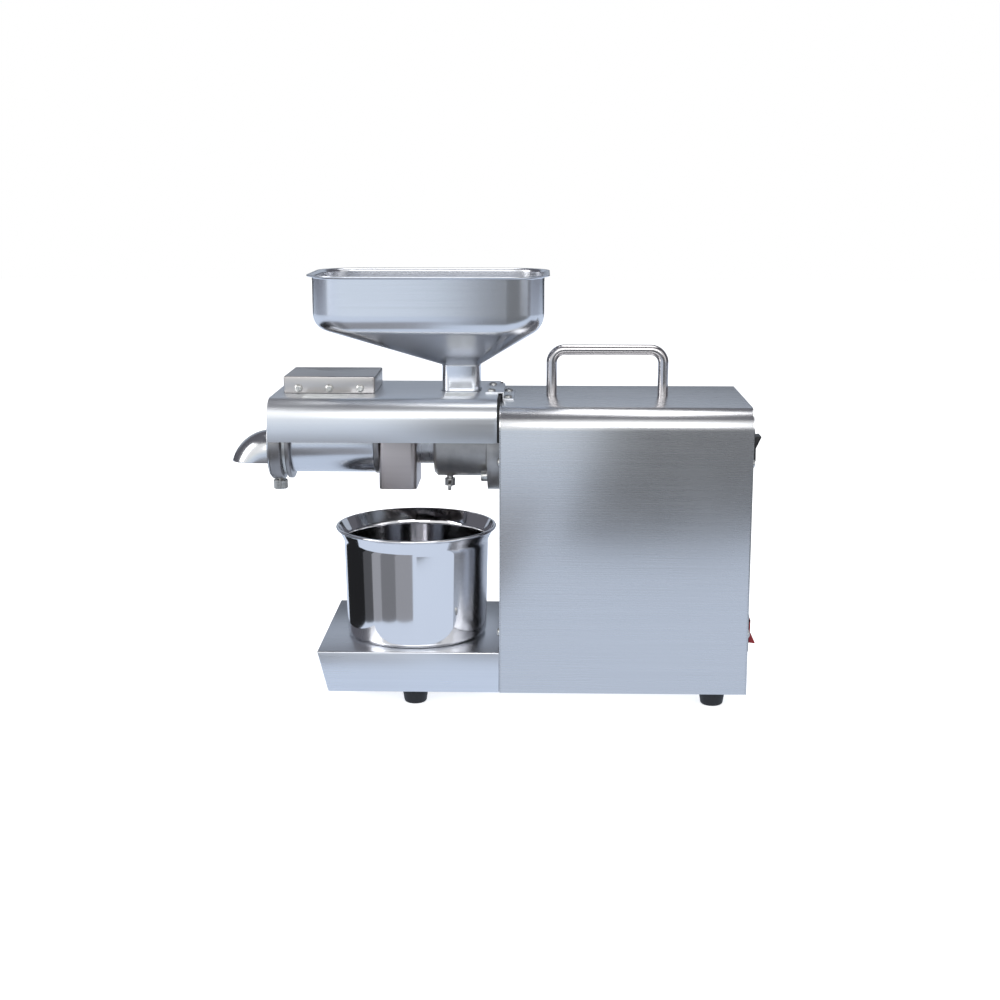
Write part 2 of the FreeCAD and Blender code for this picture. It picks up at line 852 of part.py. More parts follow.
def make_front_end_plate():
    """The panel that the barrel and the tray stand against."""
    body = new_body("front_end_plate")
    right = "left_face + cabinet_sheet"
    extrude(body, "x", "left_face", right, [end_panel_outline()])
    holes = [(y, z, SHANK_HOLE) for _, y, z in panel_screw_places(right)]
    bolt_hole = "neck_bolt_diameter / 2 + screw_clearance"
    holes += [(y, z, bolt_hole) for _, y, z in neck_bolt_places(right)]
    holes += [("0", "barrel_z", "output_shaft_diameter / 2 + panel_hole_gap")]
    holes += [(y, z, SHANK_HOLE) for _, y, z in shroud_screw_places()]
    extrude(body, "x", "left_face", right, circles=holes, cut=True)


def make_rear_end_plate():
    """The panel with the two switches, the power inlet and the vents."""
    body = new_body("rear_end_plate")
    left = "right_face - cabinet_sheet"
    extrude(body, "x", left, "right_face", [end_panel_outline()])
    holes = [(y, z, SHANK_HOLE) for _, y, z in panel_screw_places(left)]
    extrude(body, "x", left, "right_face", circles=holes, cut=True)
    width = "switch_window_width + 2 * switch_wall + 2 * panel_hole_gap"
    height = "switch_window_height + 2 * switch_wall + 2 * panel_hole_gap"
    windows = [centred("-switch_side", z, width, height) for z in ("direction_z", "power_z")]
    width = "inlet_body_length + 2 * panel_hole_gap"
    height = "inlet_body_height + 2 * panel_hole_gap"
    windows.append(centred("inlet_side", "inlet_z", width, height))
    extrude(body, "x", left, "right_face", windows, cut=True)
    # one vent slot and its copies, level with the motor's fan
    half = "vent_slot_width / 2"
    low = "motor_z - vent_slot_pitch * (vent_slot_count - 1) / 2"
    slot = rectangle(
        "-vent_slot_length / 2",
        f"{low} - {half}",
        "vent_slot_length / 2",
        f"{low} + {half}",
    )
    first = extrude(body, "x", left, "right_face", [slot], cut=True)
    pattern = body.newObject("PartDesign::LinearPattern", "vent_slots")
    pattern.Originals = [first]
    pattern.Direction = (first.Profile[0], ["V_Axis"])
    bind(pattern, Length="vent_slot_pitch * (vent_slot_count - 1)")
    bind(pattern, Occurrences="vent_slot_count")
    body.Tip = pattern
    finish_feature(body, pattern, False)


def make_feet():
    """Four rubber feet with a recess for the screw's head."""
    recess = "foot_recess_diameter / 2"
    radius = "foot_diameter / 2"
    outline = [
        (SHANK_HOLE, "foot_recess_depth"),
        (recess, "foot_recess_depth"),
        (recess, "0"),
        (f"{radius} - foot_taper", "0"),
        (radius, "foot_height - foot_rim_height"),
        (radius, "foot_height"),
        (SHANK_HOLE, "foot_height"),
    ]
    for name, centre in FOOT_PLACES.items():
        turn(new_body("foot_" + name), "z", centre, [outline])


def make_cabinet_screws():
    """The screws of the feet, the end panels, the cover's foot and the handle."""
    places = [(x, y, "foot_recess_depth") for x, y in FOOT_PLACES.values()]
    grip = "foot_height - foot_recess_depth + pan_sheet + screw_bite"
    screws = headed_screws("foot_screw", "+z", places, grip)
    places = panel_screw_places("left_face") + panel_screw_places("right_face")
    screws += headed_screws("panel_screw", ["+x"] * 4 + ["-x"] * 4, places, "screw_length")
    screws += headed_screws("pan_screw", "-y", pan_screw_places(), "screw_length")
    places = [(x, "0", "top_face - cabinet_sheet") for x in HANDLE_LEGS]
    screws += headed_screws("handle_screw", "+z", places, "screw_length")
    compound("cabinet_screws", screws)


# --- the carrying handle ---------------------------------------------------------------

HANDLE_X = "(left_face + right_face) / 2 - handle_offset"
HANDLE_LEGS = (f"{HANDLE_X} - handle_span / 2", f"{HANDLE_X} + handle_span / 2")


def make_carry_handle():
    """A bent round bar that stands on the top, screwed on from inside."""
    body = new_body("carry_handle")
    low = "top_face"
    high = "top_face + handle_height - handle_rod_diameter / 2"
    path = new_sketch(body, "y", "0")
    corners = [
        (HANDLE_LEGS[0], low),
        (HANDLE_LEGS[0], high, "handle_bend_radius"),
        (HANDLE_LEGS[1], high, "handle_bend_radius"),
        (HANDLE_LEGS[1], low),
    ]
    draw_outline(path, corners, closed=False)
    section = new_sketch(body, "z", low)
    draw_circle(section, HANDLE_LEGS[0], "0", "handle_rod_diameter / 2")
    doc.recompute()
    bar = body.newObject("PartDesign::AdditivePipe", "handle_bar")
    bar.Profile = section
    bar.Spine = (path, [f"Edge{number + 1}" for number in range(len(path.Shape.Edges))])
    finish_feature(body, bar, True)
    tapped = "screw_diameter / 2 + screw_clearance"
    holes = [(x, "0", tapped) for x in HANDLE_LEGS]
    extrude(body, "z", low, f"{low} + screw_length", circles=holes, cut=True)


# --- the cover over the barrel ---------------------------------------------------------

SHROUD = ("shroud_half", "shroud_top - shroud_skirt", "shroud_top", "shroud_radius")
SHROUD_SCREW_INSET = "shroud_sheet + return_flange_width / 2"


def shroud_screw_places():
    """The screws that hold the cover's end flange and the gasket to the cabinet."""
    side = f"shroud_half - ({SHROUD_SCREW_INSET})"
    low = "shroud_top - shroud_skirt + shroud_screw_height"
    x = "shroud_right - shroud_sheet"
    sides = (side, negative(side))
    return [(x, y, z) for y in sides for z in (low, f"{low} + shroud_screw_spacing")]


def make_neck_clearance(body, left, right):
    """Cut a piece of the cover clear of the feed neck's flange."""
    circle = ("0", "barrel_z", "neck_flange_radius + neck_hole_gap")
    extrude(body, "x", left, right, circles=[circle], cut=True)


def make_barrel_cover():
    body = new_body("barrel_cover")
    extrude(body, "x", "shroud_left", "shroud_right", [arch_band(*SHROUD, "0", "shroud_sheet")])
    flange = arch_band(*SHROUD, "shroud_sheet / 2", "shroud_sheet + return_flange_width")
    extrude(body, "x", "shroud_right - shroud_sheet", "shroud_right", [flange])
    make_neck_clearance(body, "shroud_right - shroud_sheet", "shroud_right")
    holes = [(y, z, SHANK_HOLE) for _, y, z in shroud_screw_places()]
    extrude(body, "x", "shroud_right - shroud_sheet", "shroud_right", circles=holes, cut=True)
    width = "throat_width + 2 * neck_hole_gap"
    window = centred("throat_x", "0", width, width, "throat_radius + neck_hole_gap")
    low = "shroud_top - 2 * shroud_sheet"
    extrude(body, "z", low, "shroud_top", [window], cut=True)
    holes = [(x, y, SHANK_HOLE) for x, y, z in bracket_screw_places()[:2]]
    extrude(body, "z", low, "shroud_top", circles=holes, cut=True)


def make_cover_gasket():
    body = new_body("cover_gasket")
    band = arch_band(*SHROUD, "gasket_inset", "shroud_sheet + return_flange_width")
    extrude(body, "x", "shroud_right", "left_face", [band])
    make_neck_clearance(body, "shroud_right", "left_face")
    holes = [(y, z, SHANK_HOLE) for _, y, z in shroud_screw_places()]
    extrude(body, "x", "shroud_right", "left_face", circles=holes, cut=True)


TERMINAL_LEFT = "shroud_left + terminal_box_end_inset"
TERMINAL_RIGHT = f"{TERMINAL_LEFT} + terminal_box_length"
TERMINAL_FRONT = "-shroud_half + terminal_box_front_inset"
TERMINAL_REAR = f"{TERMINAL_FRONT} + terminal_box_depth"


def terminal_screw_places():
    """Three screws low in the terminal box's front skirt."""
    height = "shroud_top + terminal_screw_height"
    step = "(terminal_box_length - 2 * terminal_screw_inset) / 2"
    left = f"{TERMINAL_LEFT} + terminal_screw_inset"
    return [(f"{left} + {number} * {step}", TERMINAL_FRONT, height) for number in range(3)]


def make_terminal_box():
    """The lid over the heater's terminals, with three screws in its front skirt."""
    body = new_body("terminal_box")
    high = "shroud_top + terminal_box_height"
    outline = rectangle(TERMINAL_LEFT, TERMINAL_FRONT, TERMINAL_RIGHT, TERMINAL_REAR, "terminal_box_radius")
    extrude(body, "z", "shroud_top", high, [outline])
    wall = "terminal_box_sheet"
    hollow = rectangle(
        f"{TERMINAL_LEFT} + {wall}",
        f"{TERMINAL_FRONT} + {wall}",
        f"{TERMINAL_RIGHT} - {wall}",
        f"{TERMINAL_REAR} - {wall}",
        f"terminal_box_radius - {wall}",
    )
    extrude(body, "z", "shroud_top", f"{high} - {wall}", [hollow], cut=True)
    holes = [(x, z, SHANK_HOLE) for x, _, z in terminal_screw_places()]
    back = f"{TERMINAL_FRONT} + {wall}"
    extrude(body, "y", TERMINAL_FRONT, back, circles=holes, cut=True)


def bracket_screw_places():
    """Two screws into the barrel cover, then two into the cabinet's top."""
    left = "left_face - bracket_reach + bracket_screw_inset - gasket_thickness"
    right = "left_face + bracket_reach - bracket_screw_inset"
    half = "bracket_screw_span / 2"
    low = [(left, f"{s}{half}", "shroud_top + bracket_sheet") for s in ("-", "")]
    high = [(right, f"{s}{half}", "top_face + bracket_sheet") for s in ("-", "")]
    return low + high


def make_joint_bracket():
    """A stepped strap that ties the barrel cover to the cabinet's top."""
    body = new_body("joint_bracket")
    left = "left_face - bracket_reach - gasket_thickness"
    step = "left_face + cabinet_sheet"
    right = "left_face + bracket_reach"
    outline = [
        (left, "shroud_top"),
        (step, "shroud_top"),
        (step, "top_face"),
        (right, "top_face"),
        (right, "top_face + bracket_sheet"),
        (f"{step} + bracket_sheet", "top_face + bracket_sheet"),
        (f"{step} + bracket_sheet", "shroud_top + bracket_sheet"),
        (left, "shroud_top + bracket_sheet"),
    ]
    extrude(body, "y", "-bracket_width / 2", "bracket_width / 2", [outline])
    holes = [(x, y, SHANK_HOLE) for x, y, z in bracket_screw_places()]
    extrude(body, "z", "top_face", "shroud_top + bracket_sheet", circles=holes, cut=True)


def make_cover_screws():
    """The screws of the barrel cover, its terminal box and its bracket."""
    grip = "shroud_sheet + gasket_thickness + cabinet_sheet + screw_bite"
    screws = headed_screws("flange_screw", "+x", shroud_screw_places(), grip)
    short = "screw_length / 2"
    screws += headed_screws("terminal_screw", "+y", terminal_screw_places(), short)
    screws += headed_screws("bracket_screw", "-z", bracket_screw_places(), short)
    compound("cover_screws", screws)


# --- the feed neck and the barrel ------------------------------------------------------

BARREL_AXIS = ("0", "barrel_z")


def make_feed_neck():
    """The casting bolted to the cabinet: it holds the barrel tube and takes the hopper."""
    body = new_body("feed_neck")
    flange_left = "left_face - neck_flange_thickness"
    outline = [
        ("neck_end", "0"),
        ("neck_end", "neck_diameter / 2 - neck_chamfer"),
        ("neck_end + neck_chamfer", "neck_diameter / 2"),
        (flange_left, "neck_diameter / 2", "neck_root_radius"),
        (flange_left, "neck_flange_radius"),
        ("left_face", "neck_flange_radius"),
        ("left_face", "0"),
    ]
    turn(body, "x", BARREL_AXIS, [outline])
    boss = centred("throat_x", "0", "feed_boss_width", "feed_boss_width", "throat_radius")
    extrude(body, "z", "barrel_z", "boss_top", [boss])
    fit = "throat_width - 2 * hopper_sheet - 2 * feed_collar_gap"
    radius = "throat_radius - hopper_sheet - feed_collar_gap"
    collar = centred("throat_x", "0", fit, fit, radius)
    collar_top = "boss_top + feed_collar_height"
    extrude(body, "z", "boss_top", collar_top, [collar])
    bore = [
        ("neck_end", "0"),
        ("neck_end", "tube_radius + running_gap"),
        ("left_face - neck_end_wall", "tube_radius + running_gap"),
        ("left_face - neck_end_wall", "output_shaft_diameter / 2 + panel_hole_gap"),
        ("left_face", "output_shaft_diameter / 2 + panel_hole_gap"),
        ("left_face", "0"),
    ]
    turn(body, "x", BARREL_AXIS, [bore], cut=True)
    throat = f"({fit} - 2 * feed_wall)"
    opening = centred("throat_x", "0", throat, throat, "feed_window_radius")
    extrude(body, "z", "barrel_z", collar_top, [opening], cut=True)
    bolt_hole = "neck_bolt_diameter / 2 + screw_clearance"
    holes = [(y, z, bolt_hole) for _, y, z in neck_bolt_places("left_face")]
    extrude(body, "x", flange_left, "left_face", circles=holes, cut=True)
    tapped = [("wing_bolt_x", "0", "wing_bolt_diameter / 2 + running_gap")]
    low = "barrel_z - neck_diameter / 2"
    extrude(body, "z", low, "barrel_z", circles=tapped, cut=True)
    sizes = ("neck_bolt_diameter", "neck_bolt_head_diameter", "neck_bolt_head_height")
    grip = "neck_flange_thickness + neck_bolt_grip"
    screws = headed_screws("neck_bolt", "+x", neck_bolt_places(flange_left), grip, sizes)
    compound("neck_bolts", screws)


def make_chamber_tube():
    """The barrel tube: a feed window at one end and drain slots in the outlet box."""
    body = new_body("chamber_tube")
    left = "left_face - collar_far"
    right = "left_face - neck_end_wall - screw_end_gap"
    outline = [
        (left, "tube_bore / 2"),
        (right, "tube_bore / 2"),
        (right, "tube_radius"),
        (left, "tube_radius"),
    ]
    turn(body, "x", BARREL_AXIS, [outline])
    throat = "(throat_width - 2 * hopper_sheet - 2 * feed_collar_gap - 2 * feed_wall)"
    window = centred("throat_x", "0", throat, throat, "feed_window_radius")
    extrude(body, "z", "barrel_z", "barrel_z + tube_diameter", [window], cut=True)
    # one drain slot through the wall below, and its copies round the axis
    margin = "outlet_box_sheet + drain_slot_margin"
    slot = rectangle(
        f"left_face - box_far + {margin}",
        "-drain_slot_width / 2",
        f"left_face - outlet_box_distance - ({margin})",
        "drain_slot_width / 2",
    )
    low = "barrel_z - tube_diameter"
    first = extrude(body, "z", low, "barrel_z", [slot], cut=True)
    axis_sketch = new_sketch(body, "y", "0", BARREL_AXIS)
    doc.recompute()
    pattern = body.newObject("PartDesign::PolarPattern", "drain_slots")
    pattern.Originals = [first]
    pattern.Axis = (axis_sketch, ["H_Axis"])
    pattern.Angle = 360
    bind(pattern, Occurrences="drain_slot_count")
    body.Tip = pattern
    finish_feature(body, pattern, False)


def make_oil_outlet_box():
    """The box round the drain slots, open below over the cup."""
    body = new_body("oil_outlet_box")
    low = "barrel_z - outlet_box_drop"
    high = f"{low} + outlet_box_height"
    left = "left_face - box_far"
    right = "left_face - outlet_box_distance"
    half = "outlet_box_width / 2"
    wall = "outlet_box_sheet"
    outline = rectangle(left, negative(half), right, half, "outlet_box_radius")
    extrude(body, "z", low, high, [outline])
    hollow = rectangle(
        f"{left} + {wall}",
        f"-({half} - {wall})",
        f"{right} - {wall}",
        f"{half} - {wall}",
        f"outlet_box_radius - {wall}",
    )
    extrude(body, "z", low, f"{high} - {wall}", [hollow], cut=True)
    hole = ("0", "barrel_z", "tube_radius + seat_gap")
    extrude(body, "x", left, right, circles=[hole], cut=True)


def make_barrel_rings():
    """The heater, its jacket and the rings, in a row along the tube."""
    seat = "tube_radius + seat_gap"

    def barrel_ring(label, far, near, outer, inner=seat, centre="barrel_z"):
        body = new_body(label)
        outline = [
            (f"left_face - {far}", inner),
            (f"left_face - {near}", inner),
            (f"left_face - {near}", outer),
            (f"left_face - {far}", outer),
        ]
        turn(body, "x", ("0", centre), [outline])
        return body

    barrel_ring("jacket_stop_ring", "jacket_near", "box_far", "jacket_stop_diameter / 2")
    barrel_ring("band_heater", "jacket_far", "jacket_near", "heater_diameter / 2")
    shell = "jacket_diameter / 2 - jacket_sheet"
    barrel_ring("heater_jacket", "jacket_far", "jacket_near", "jacket_diameter / 2", shell)
    barrel_ring("jacket_end_ring", "end_ring_far", "jacket_far", "end_ring_diameter / 2")
    barrel_ring("spacer_ring", "collar_near", "end_ring_far", "spacer_diameter / 2")


def make_die_ring():
    """The tapered ring in the tube's mouth that the cake squeezes through."""
    body = new_body("die_ring")
    left = "left_face - collar_far"
    outer = "tube_bore / 2 - seat_gap"
    outline = [
        (left, "die_mouth_diameter / 2"),
        (f"{left} + die_length", "die_throat_diameter / 2"),
        (f"{left} + die_length", outer),
        (left, outer),
    ]
    turn(body, "x", BARREL_AXIS, [outline])


# --- the spout -------------------------------------------------------------------------


def make_spout_collar():
    """The collar that turns on the tube's nose, with a tapped hole for its screw."""
    body = new_body("spout_collar")
    outline = [
        ("left_face - collar_far", "tube_radius + running_gap"),
        ("left_face - collar_near", "tube_radius + running_gap"),
        ("left_face - collar_near", "collar_diameter / 2"),
        ("left_face - collar_far", "collar_diameter / 2"),
    ]
    turn(body, "x", BARREL_AXIS, [outline])
    tapped = [("collar_x", "0", "spout_screw_diameter / 2 + running_gap")]
    low = "barrel_z - collar_diameter"
    extrude(body, "z", low, "barrel_z", circles=tapped, cut=True)


def make_spout():
    """A bent hood that turns the cake down. Its section is an arch, swept about a line."""
    body = new_body("spout")
    wall = "spout_sheet"
    collar_face = "left_face - collar_far"
    flange_face = f"{collar_face} - {wall}"
    sketch = new_sketch(body, "x", flange_face, ("0", "spout_axis_z"))
    half = "spout_width / 2"
    inner = f"({half} - {wall})"
    corner = f"spout_corner_radius - {wall}"
    outline = [
        (negative(half), "spout_lip_radius"),
        (negative(half), "spout_bend_radius", "spout_corner_radius"),
        (half, "spout_bend_radius", "spout_corner_radius"),
        (half, "spout_lip_radius"),
        (inner, "spout_lip_radius"),
        (inner, f"spout_bend_radius - {wall}", corner),
        (negative(inner), f"spout_bend_radius - {wall}", corner),
        (negative(inner), "spout_lip_radius"),
    ]
    draw_outline(sketch, outline)
    bend = body.newObject("PartDesign::Revolution", "spout_bend")
    bend.Profile = sketch
    bend.ReferenceAxis = (sketch, ["H_Axis"])
    bend.Reversed = True
    bind(bend, Angle="spout_turn")
    finish_feature(body, bend, True)
    # the mouth is level
    tip = f"{flange_face} - spout_bend_radius"
    mouth = rectangle(tip, negative(half), flange_face, half)
    low = "spout_axis_z - spout_lip_radius"
    extrude(body, "z", low, "barrel_z - spout_mouth_drop", [mouth], cut=True)
    # the flange that closes the collar's face round the hood
    radius = "collar_diameter / 2 - spout_flange_inset"
    extrude(body, "x", flange_face, collar_face, circles=[("0", "barrel_z", radius)])
    hole = [
        (negative(inner), "spout_axis_z + spout_lip_radius"),
        (inner, "spout_axis_z + spout_lip_radius"),
        (inner, f"spout_axis_z + spout_bend_radius - {wall}", corner),
        (negative(inner), f"spout_axis_z + spout_bend_radius - {wall}", corner),
    ]
    extrude(body, "x", flange_face, collar_face, [hole], cut=True)


def make_spout_screw():
    """The knurled screw that clamps the collar."""
    body = new_body("spout_screw")
    tip = "barrel_z - tube_radius - running_gap"
    neck_low = "barrel_z - collar_diameter / 2 - spout_screw_neck_length"
    shank = "spout_screw_diameter / 2"
    head = "spout_screw_head_diameter / 2"
    low = f"{neck_low} - spout_screw_head_height"
    outline = [
        ("0", low),
        (f"{head} - spout_screw_chamfer", low),
        (head, f"{low} + spout_screw_chamfer"),
        (head, f"{neck_low} - spout_screw_chamfer"),
        (f"{head} - spout_screw_chamfer", neck_low),
        (shank, neck_low),
        (shank, tip),
        ("0", tip),
    ]
    turn(body, "z", ("collar_x", "0"), [outline])


def make_wing_bolt():
    """The bolt under the neck that holds the barrel tube, with two wings to turn it."""
    body = new_body("wing_bolt")
    tip = "barrel_z - tube_radius - running_gap"
    hub_top = "barrel_z - neck_diameter / 2 - wing_bolt_neck_length"
    hub_low = f"{hub_top} - wing_bolt_hub_height"
    outline = [
        ("0", hub_low),
        ("wing_bolt_hub_diameter / 2", hub_low),
        ("wing_bolt_hub_diameter / 2", hub_top),
        ("wing_bolt_diameter / 2", hub_top),
        ("wing_bolt_diameter / 2", tip),
        ("0", tip),
    ]
    turn(body, "z", ("wing_bolt_x", "0"), [outline])
    # the wings reach out and down from the hub
    wing_low = f"{hub_low} - wing_rise / 2"
    outline = [
        ("-wing_span / 2", wing_low, "wing_radius"),
        ("-wing_span / 2 + wing_rise", wing_low, "wing_radius"),
        ("0", f"{hub_low} + wing_rise / 2"),
        ("wing_span / 2 - wing_rise", wing_low, "wing_radius"),
        ("wing_span / 2", wing_low, "wing_radius"),
        ("wing_span / 2", f"{hub_low} + wing_rise / 2", "wing_radius"),
        ("wing_bolt_hub_diameter / 4", f"{hub_top} - wing_shoulder"),
        ("-wing_bolt_hub_diameter / 4", f"{hub_top} - wing_shoulder"),
        ("-wing_span / 2", f"{hub_low} + wing_rise / 2", "wing_radius"),
    ]
    low, high = "wing_bolt_x - wing_thickness / 2", "wing_bolt_x + wing_thickness / 2"
    extrude(body, "x", low, high, [outline])


# --- the hopper, the tray and the cup --------------------------------------------------


def hopper_outline(inset):
    """The hopper's plan, inset from its rim."""
    right = f"hopper_right - ({inset})"
    left = f"hopper_right - hopper_length + ({inset})"
    half = f"(hopper_depth / 2 - ({inset}))"
    return rectangle(left, negative(half), right, half, f"hopper_corner_radius - ({inset})")


def throat_outline(inset):
    width = f"throat_width - 2 * ({inset})"
    return centred("throat_x", "0", width, width, f"throat_radius - ({inset})")


def part_way(share, first, second):
    """An outline part of the way from one outline to another with as many corners."""
    return [
        tuple(f"({a}) + ({share}) * (({b}) - ({a}))" for a, b in zip(*corners))
        for corners in zip(first, second)
    ]


def funnel(body, bowl, neck, cut):
    """The bowl's bend in two steps, and the slopes from it down to the neck."""
    drop = "hopper_slope_depth"
    levels = [
        ("0", "hopper_bend_z + hopper_bend_rise"),
        ("hopper_bend_share / 4", f"hopper_bend_z + (hopper_bend_rise - hopper_bend_share * {drop}) / 4"),
        ("hopper_bend_share", f"hopper_bend_z - hopper_bend_share * {drop}"),
        ("1", "throat_top_z"),
    ]
    for (upper_share, upper_z), (lower_share, lower_z) in zip(levels, levels[1:]):
        upper = part_way(upper_share, bowl, neck)
        lower = part_way(lower_share, bowl, neck)
        loft(body, lower_z, lower, upper_z, upper, cut)


def make_hopper():
    """A deep bowl with a lopsided funnel down to a square throat over the feed collar."""
    body = new_body("hopper")
    bend_top = "hopper_bend_z + hopper_bend_rise"
    lip_low = "hopper_rim_z - hopper_lip_thickness"
    outside, inside = hopper_outline("hopper_lip"), hopper_outline("hopper_lip + hopper_sheet")
    neck, throat = throat_outline("0"), throat_outline("hopper_sheet")
    extrude(body, "z", bend_top, "hopper_rim_z", [outside])
    funnel(body, outside, neck, False)
    extrude(body, "z", "boss_top", "throat_top_z", [neck])
    extrude(body, "z", lip_low, "hopper_rim_z", [hopper_outline("0")])
    extrude(body, "z", bend_top, "hopper_rim_z", [inside], cut=True)
    funnel(body, inside, throat, True)
    extrude(body, "z", "boss_top", "throat_top_z", [throat], cut=True)


def make_cup_tray():
    """A folded box under the cup, with a slanted end and flanges that hold its feet."""
    body = new_body("cup_tray")
    left = "left_face - tray_length"
    wall = "tray_sheet"
    outline = [
        (f"{left} + tray_slant", "foot_height"),
        ("left_face", "foot_height"),
        ("left_face", "tray_top"),
        (left, "tray_top"),
    ]
    extrude(body, "y", "-half_depth", "half_depth", [outline])
    hollow = [
        (f"{left} + tray_slant + {wall}", f"foot_height + {wall}"),
        (f"left_face - {wall}", f"foot_height + {wall}"),
        (f"left_face - {wall}", f"tray_top - {wall}"),
        (f"{left} + {wall}", f"tray_top - {wall}"),
    ]
    half = f"(half_depth - {wall})"
    extrude(body, "y", negative(half), half, [hollow], cut=True)
    flange = "tray_flange_width"
    opening = rectangle(
        f"{left} + tray_slant + {flange} / 2",
        f"-half_depth + {flange}",
        f"left_face - {flange} / 2",
        f"half_depth - {flange}",
    )
    extrude(body, "z", "foot_height", f"foot_height + {wall}", [opening], cut=True)
    feet = [FOOT_PLACES["tray_front"], FOOT_PLACES["tray_rear"]]
    holes = [(x, y, SHANK_HOLE) for x, y in feet]
    extrude(body, "z", "foot_height", f"foot_height + {wall}", circles=holes, cut=True)


def make_oil_cup():
    """A spun pot with a flared, beaded rim."""
    body = new_body("oil_cup")
    wall = "cup_sheet"
    rim = "cup_rim_diameter / 2"
    side = "cup_body_diameter / 2"
    base = "cup_base_diameter / 2"
    top = "cup_z + cup_height"
    shoulder = f"{top} - cup_rim_height"
    outline = [
        ("0", "cup_z"),
        (base, "cup_z", "cup_base_radius"),
        (side, shoulder, "cup_shoulder_radius"),
        (rim, f"{top} - cup_rim_bead"),
        (rim, top, "cup_bead_radius"),
        (f"{rim} - cup_bead_width", top, "cup_bead_radius"),
        (f"{side} - {wall}", f"{shoulder} + {wall}", f"cup_shoulder_radius - {wall}"),
        (f"{base} - {wall}", f"cup_z + {wall}", f"cup_base_radius - {wall}"),
        ("0", f"cup_z + {wall}"),
    ]
    turn(body, "z", ("cup_x", "-cup_forward"), [outline])


# --- gears -----------------------------------------------------------------------------


def gear_profile(teeth, module, phase):
    """A closed wire of involute teeth about the origin, in the plane z = 0."""
    angle = math.radians(value("pressure_angle"))
    pitch = module * teeth / 2
    base = pitch * math.cos(angle)
    root = pitch - 1.25 * module
    tip = pitch + module
    start = max(base, root)
    # half of a tooth's angle at the pitch circle, less its share of the backlash
    half = math.pi / (2 * teeth) - value("backlash") / (2 * pitch) / 2
    involute = math.tan(angle) - angle

    def flank(radius):
        roll = math.acos(min(1.0, base / radius))
        return half + involute - (math.tan(roll) - roll)

    radii = [start + (tip - start) * share for share in (0, 0.35, 0.7, 1)]
    side = [(radius, flank(radius)) for radius in radii]
    if root < start:
        side.insert(0, (root, flank(start)))
    corners = []
    for number in range(teeth):
        middle = phase + 2 * math.pi * number / teeth
        rising = [(radius, middle - turned) for radius, turned in side]
        falling = [(radius, middle + turned) for radius, turned in reversed(side)]
        corners += rising + falling
    points = [Vector(r * math.cos(a), r * math.sin(a), 0) for r, a in corners]
    return Part.makePolygon(points + points[:1])


def gear_blank(teeth, module, width, phase_degrees):
    """A toothed disc along +X, its first tooth at an angle from +Y towards +Z."""
    profile = gear_profile(teeth, module, math.radians(phase_degrees))
    disc = Part.Face(profile).extrude(Vector(0, 0, width))
    # turn Z into X, X into Y and Y into Z
    disc.Placement = FreeCAD.Placement(Vector(), FreeCAD.Rotation(Vector(1, 1, 1), 120))
    return disc.copy()


def solid_rod(radius, start, end):
    """A rod along +X between two places."""
    return Part.makeCylinder(radius, end - start, Vector(start, 0, 0), Vector(1, 0, 0))


def make_wheel(label, teeth_name, module_name, left, height, width_name, bore_name):
    """A large gear with a tooth straight down and a lightened web."""
    teeth = round(value(teeth_name))
    width = value(width_name)
    bore = value(bore_name) / 2 + value("seat_gap")
    wheel = gear_blank(teeth, value(module_name), width, -90)
    wheel = wheel.cut(solid_rod(bore, -1, width + 1))
    node = shaped(label, wheel)
    node.Placement.Base = Vector(value(left), 0, value(height))


def make_pinion_shaft(label, module_name, left, height, width_name, start, end, diameter_name):
    """A shaft with its pinion cut on it. A gap between two teeth points straight up."""
    teeth = round(value("pinion_teeth"))
    width = value(width_name)
    pinion = gear_blank(teeth, value(module_name), width, 90 - 180 / teeth)
    pinion.translate(Vector(value(left), 0, 0))
    lands = [(value(start), value(left)), (value(left) + width, value(end))]
    shaft = pinion
    for land_start, land_end in lands:
        if land_end - land_start > 0.01:
            shaft = shaft.fuse(solid_rod(value(diameter_name) / 2, land_start, land_end))
    node = shaped(label, shaft.removeSplitter())
    node.Placement.Base = Vector(0, 0, value(height))


def make_gear_train():
    shaft_start = "boss_face - small_bearing_width"
    make_wheel(
        "output_gear",
        "stage_three_wheel_teeth",
        "stage_three_module",
        "three_left",
        "barrel_z",
        "stage_three_width",
        "output_shaft_diameter",
    )
    make_pinion_shaft(
        "second_shaft",
        "stage_three_module",
        "three_left",
        "second_z",
        "stage_three_width",
        shaft_start,
        "lid_right",
        "countershaft_diameter",
    )
    make_wheel(
        "second_gear",
        "stage_two_wheel_teeth",
        "stage_two_module",
        "two_left",
        "second_z",
        "stage_two_width",
        "countershaft_diameter",
    )
    make_pinion_shaft(
        "first_shaft",
        "stage_two_module",
        "two_left",
        "first_z",
        "stage_two_width",
        shaft_start,
        "lid_right",
        "countershaft_diameter",
    )
    make_wheel(
        "first_gear",
        "stage_one_wheel_teeth",
        "stage_one_module",
        "one_left",
        "first_z",
        "stage_one_width",
        "countershaft_diameter",
    )
    make_pinion_shaft(
        "motor_shaft",
        "stage_one_module",
        "one_left",
        "motor_z",
        "stage_one_width",
        "one_left",
        "motor_right + motor_tail_length",
        "countershaft_diameter",
    )


def hexagon(width, length, start):
    """A hexagonal bar along +X by its width across flats."""
    radius = width / math.sqrt(3)
    corners = [
        Vector(start, radius * math.cos(math.pi * k / 3), radius * math.sin(math.pi * k / 3))
        for k in range(6)
    ]
    face = Part.Face(Part.makePolygon(corners + corners[:1]))
    return face.extrude(Vector(length, 0, 0))


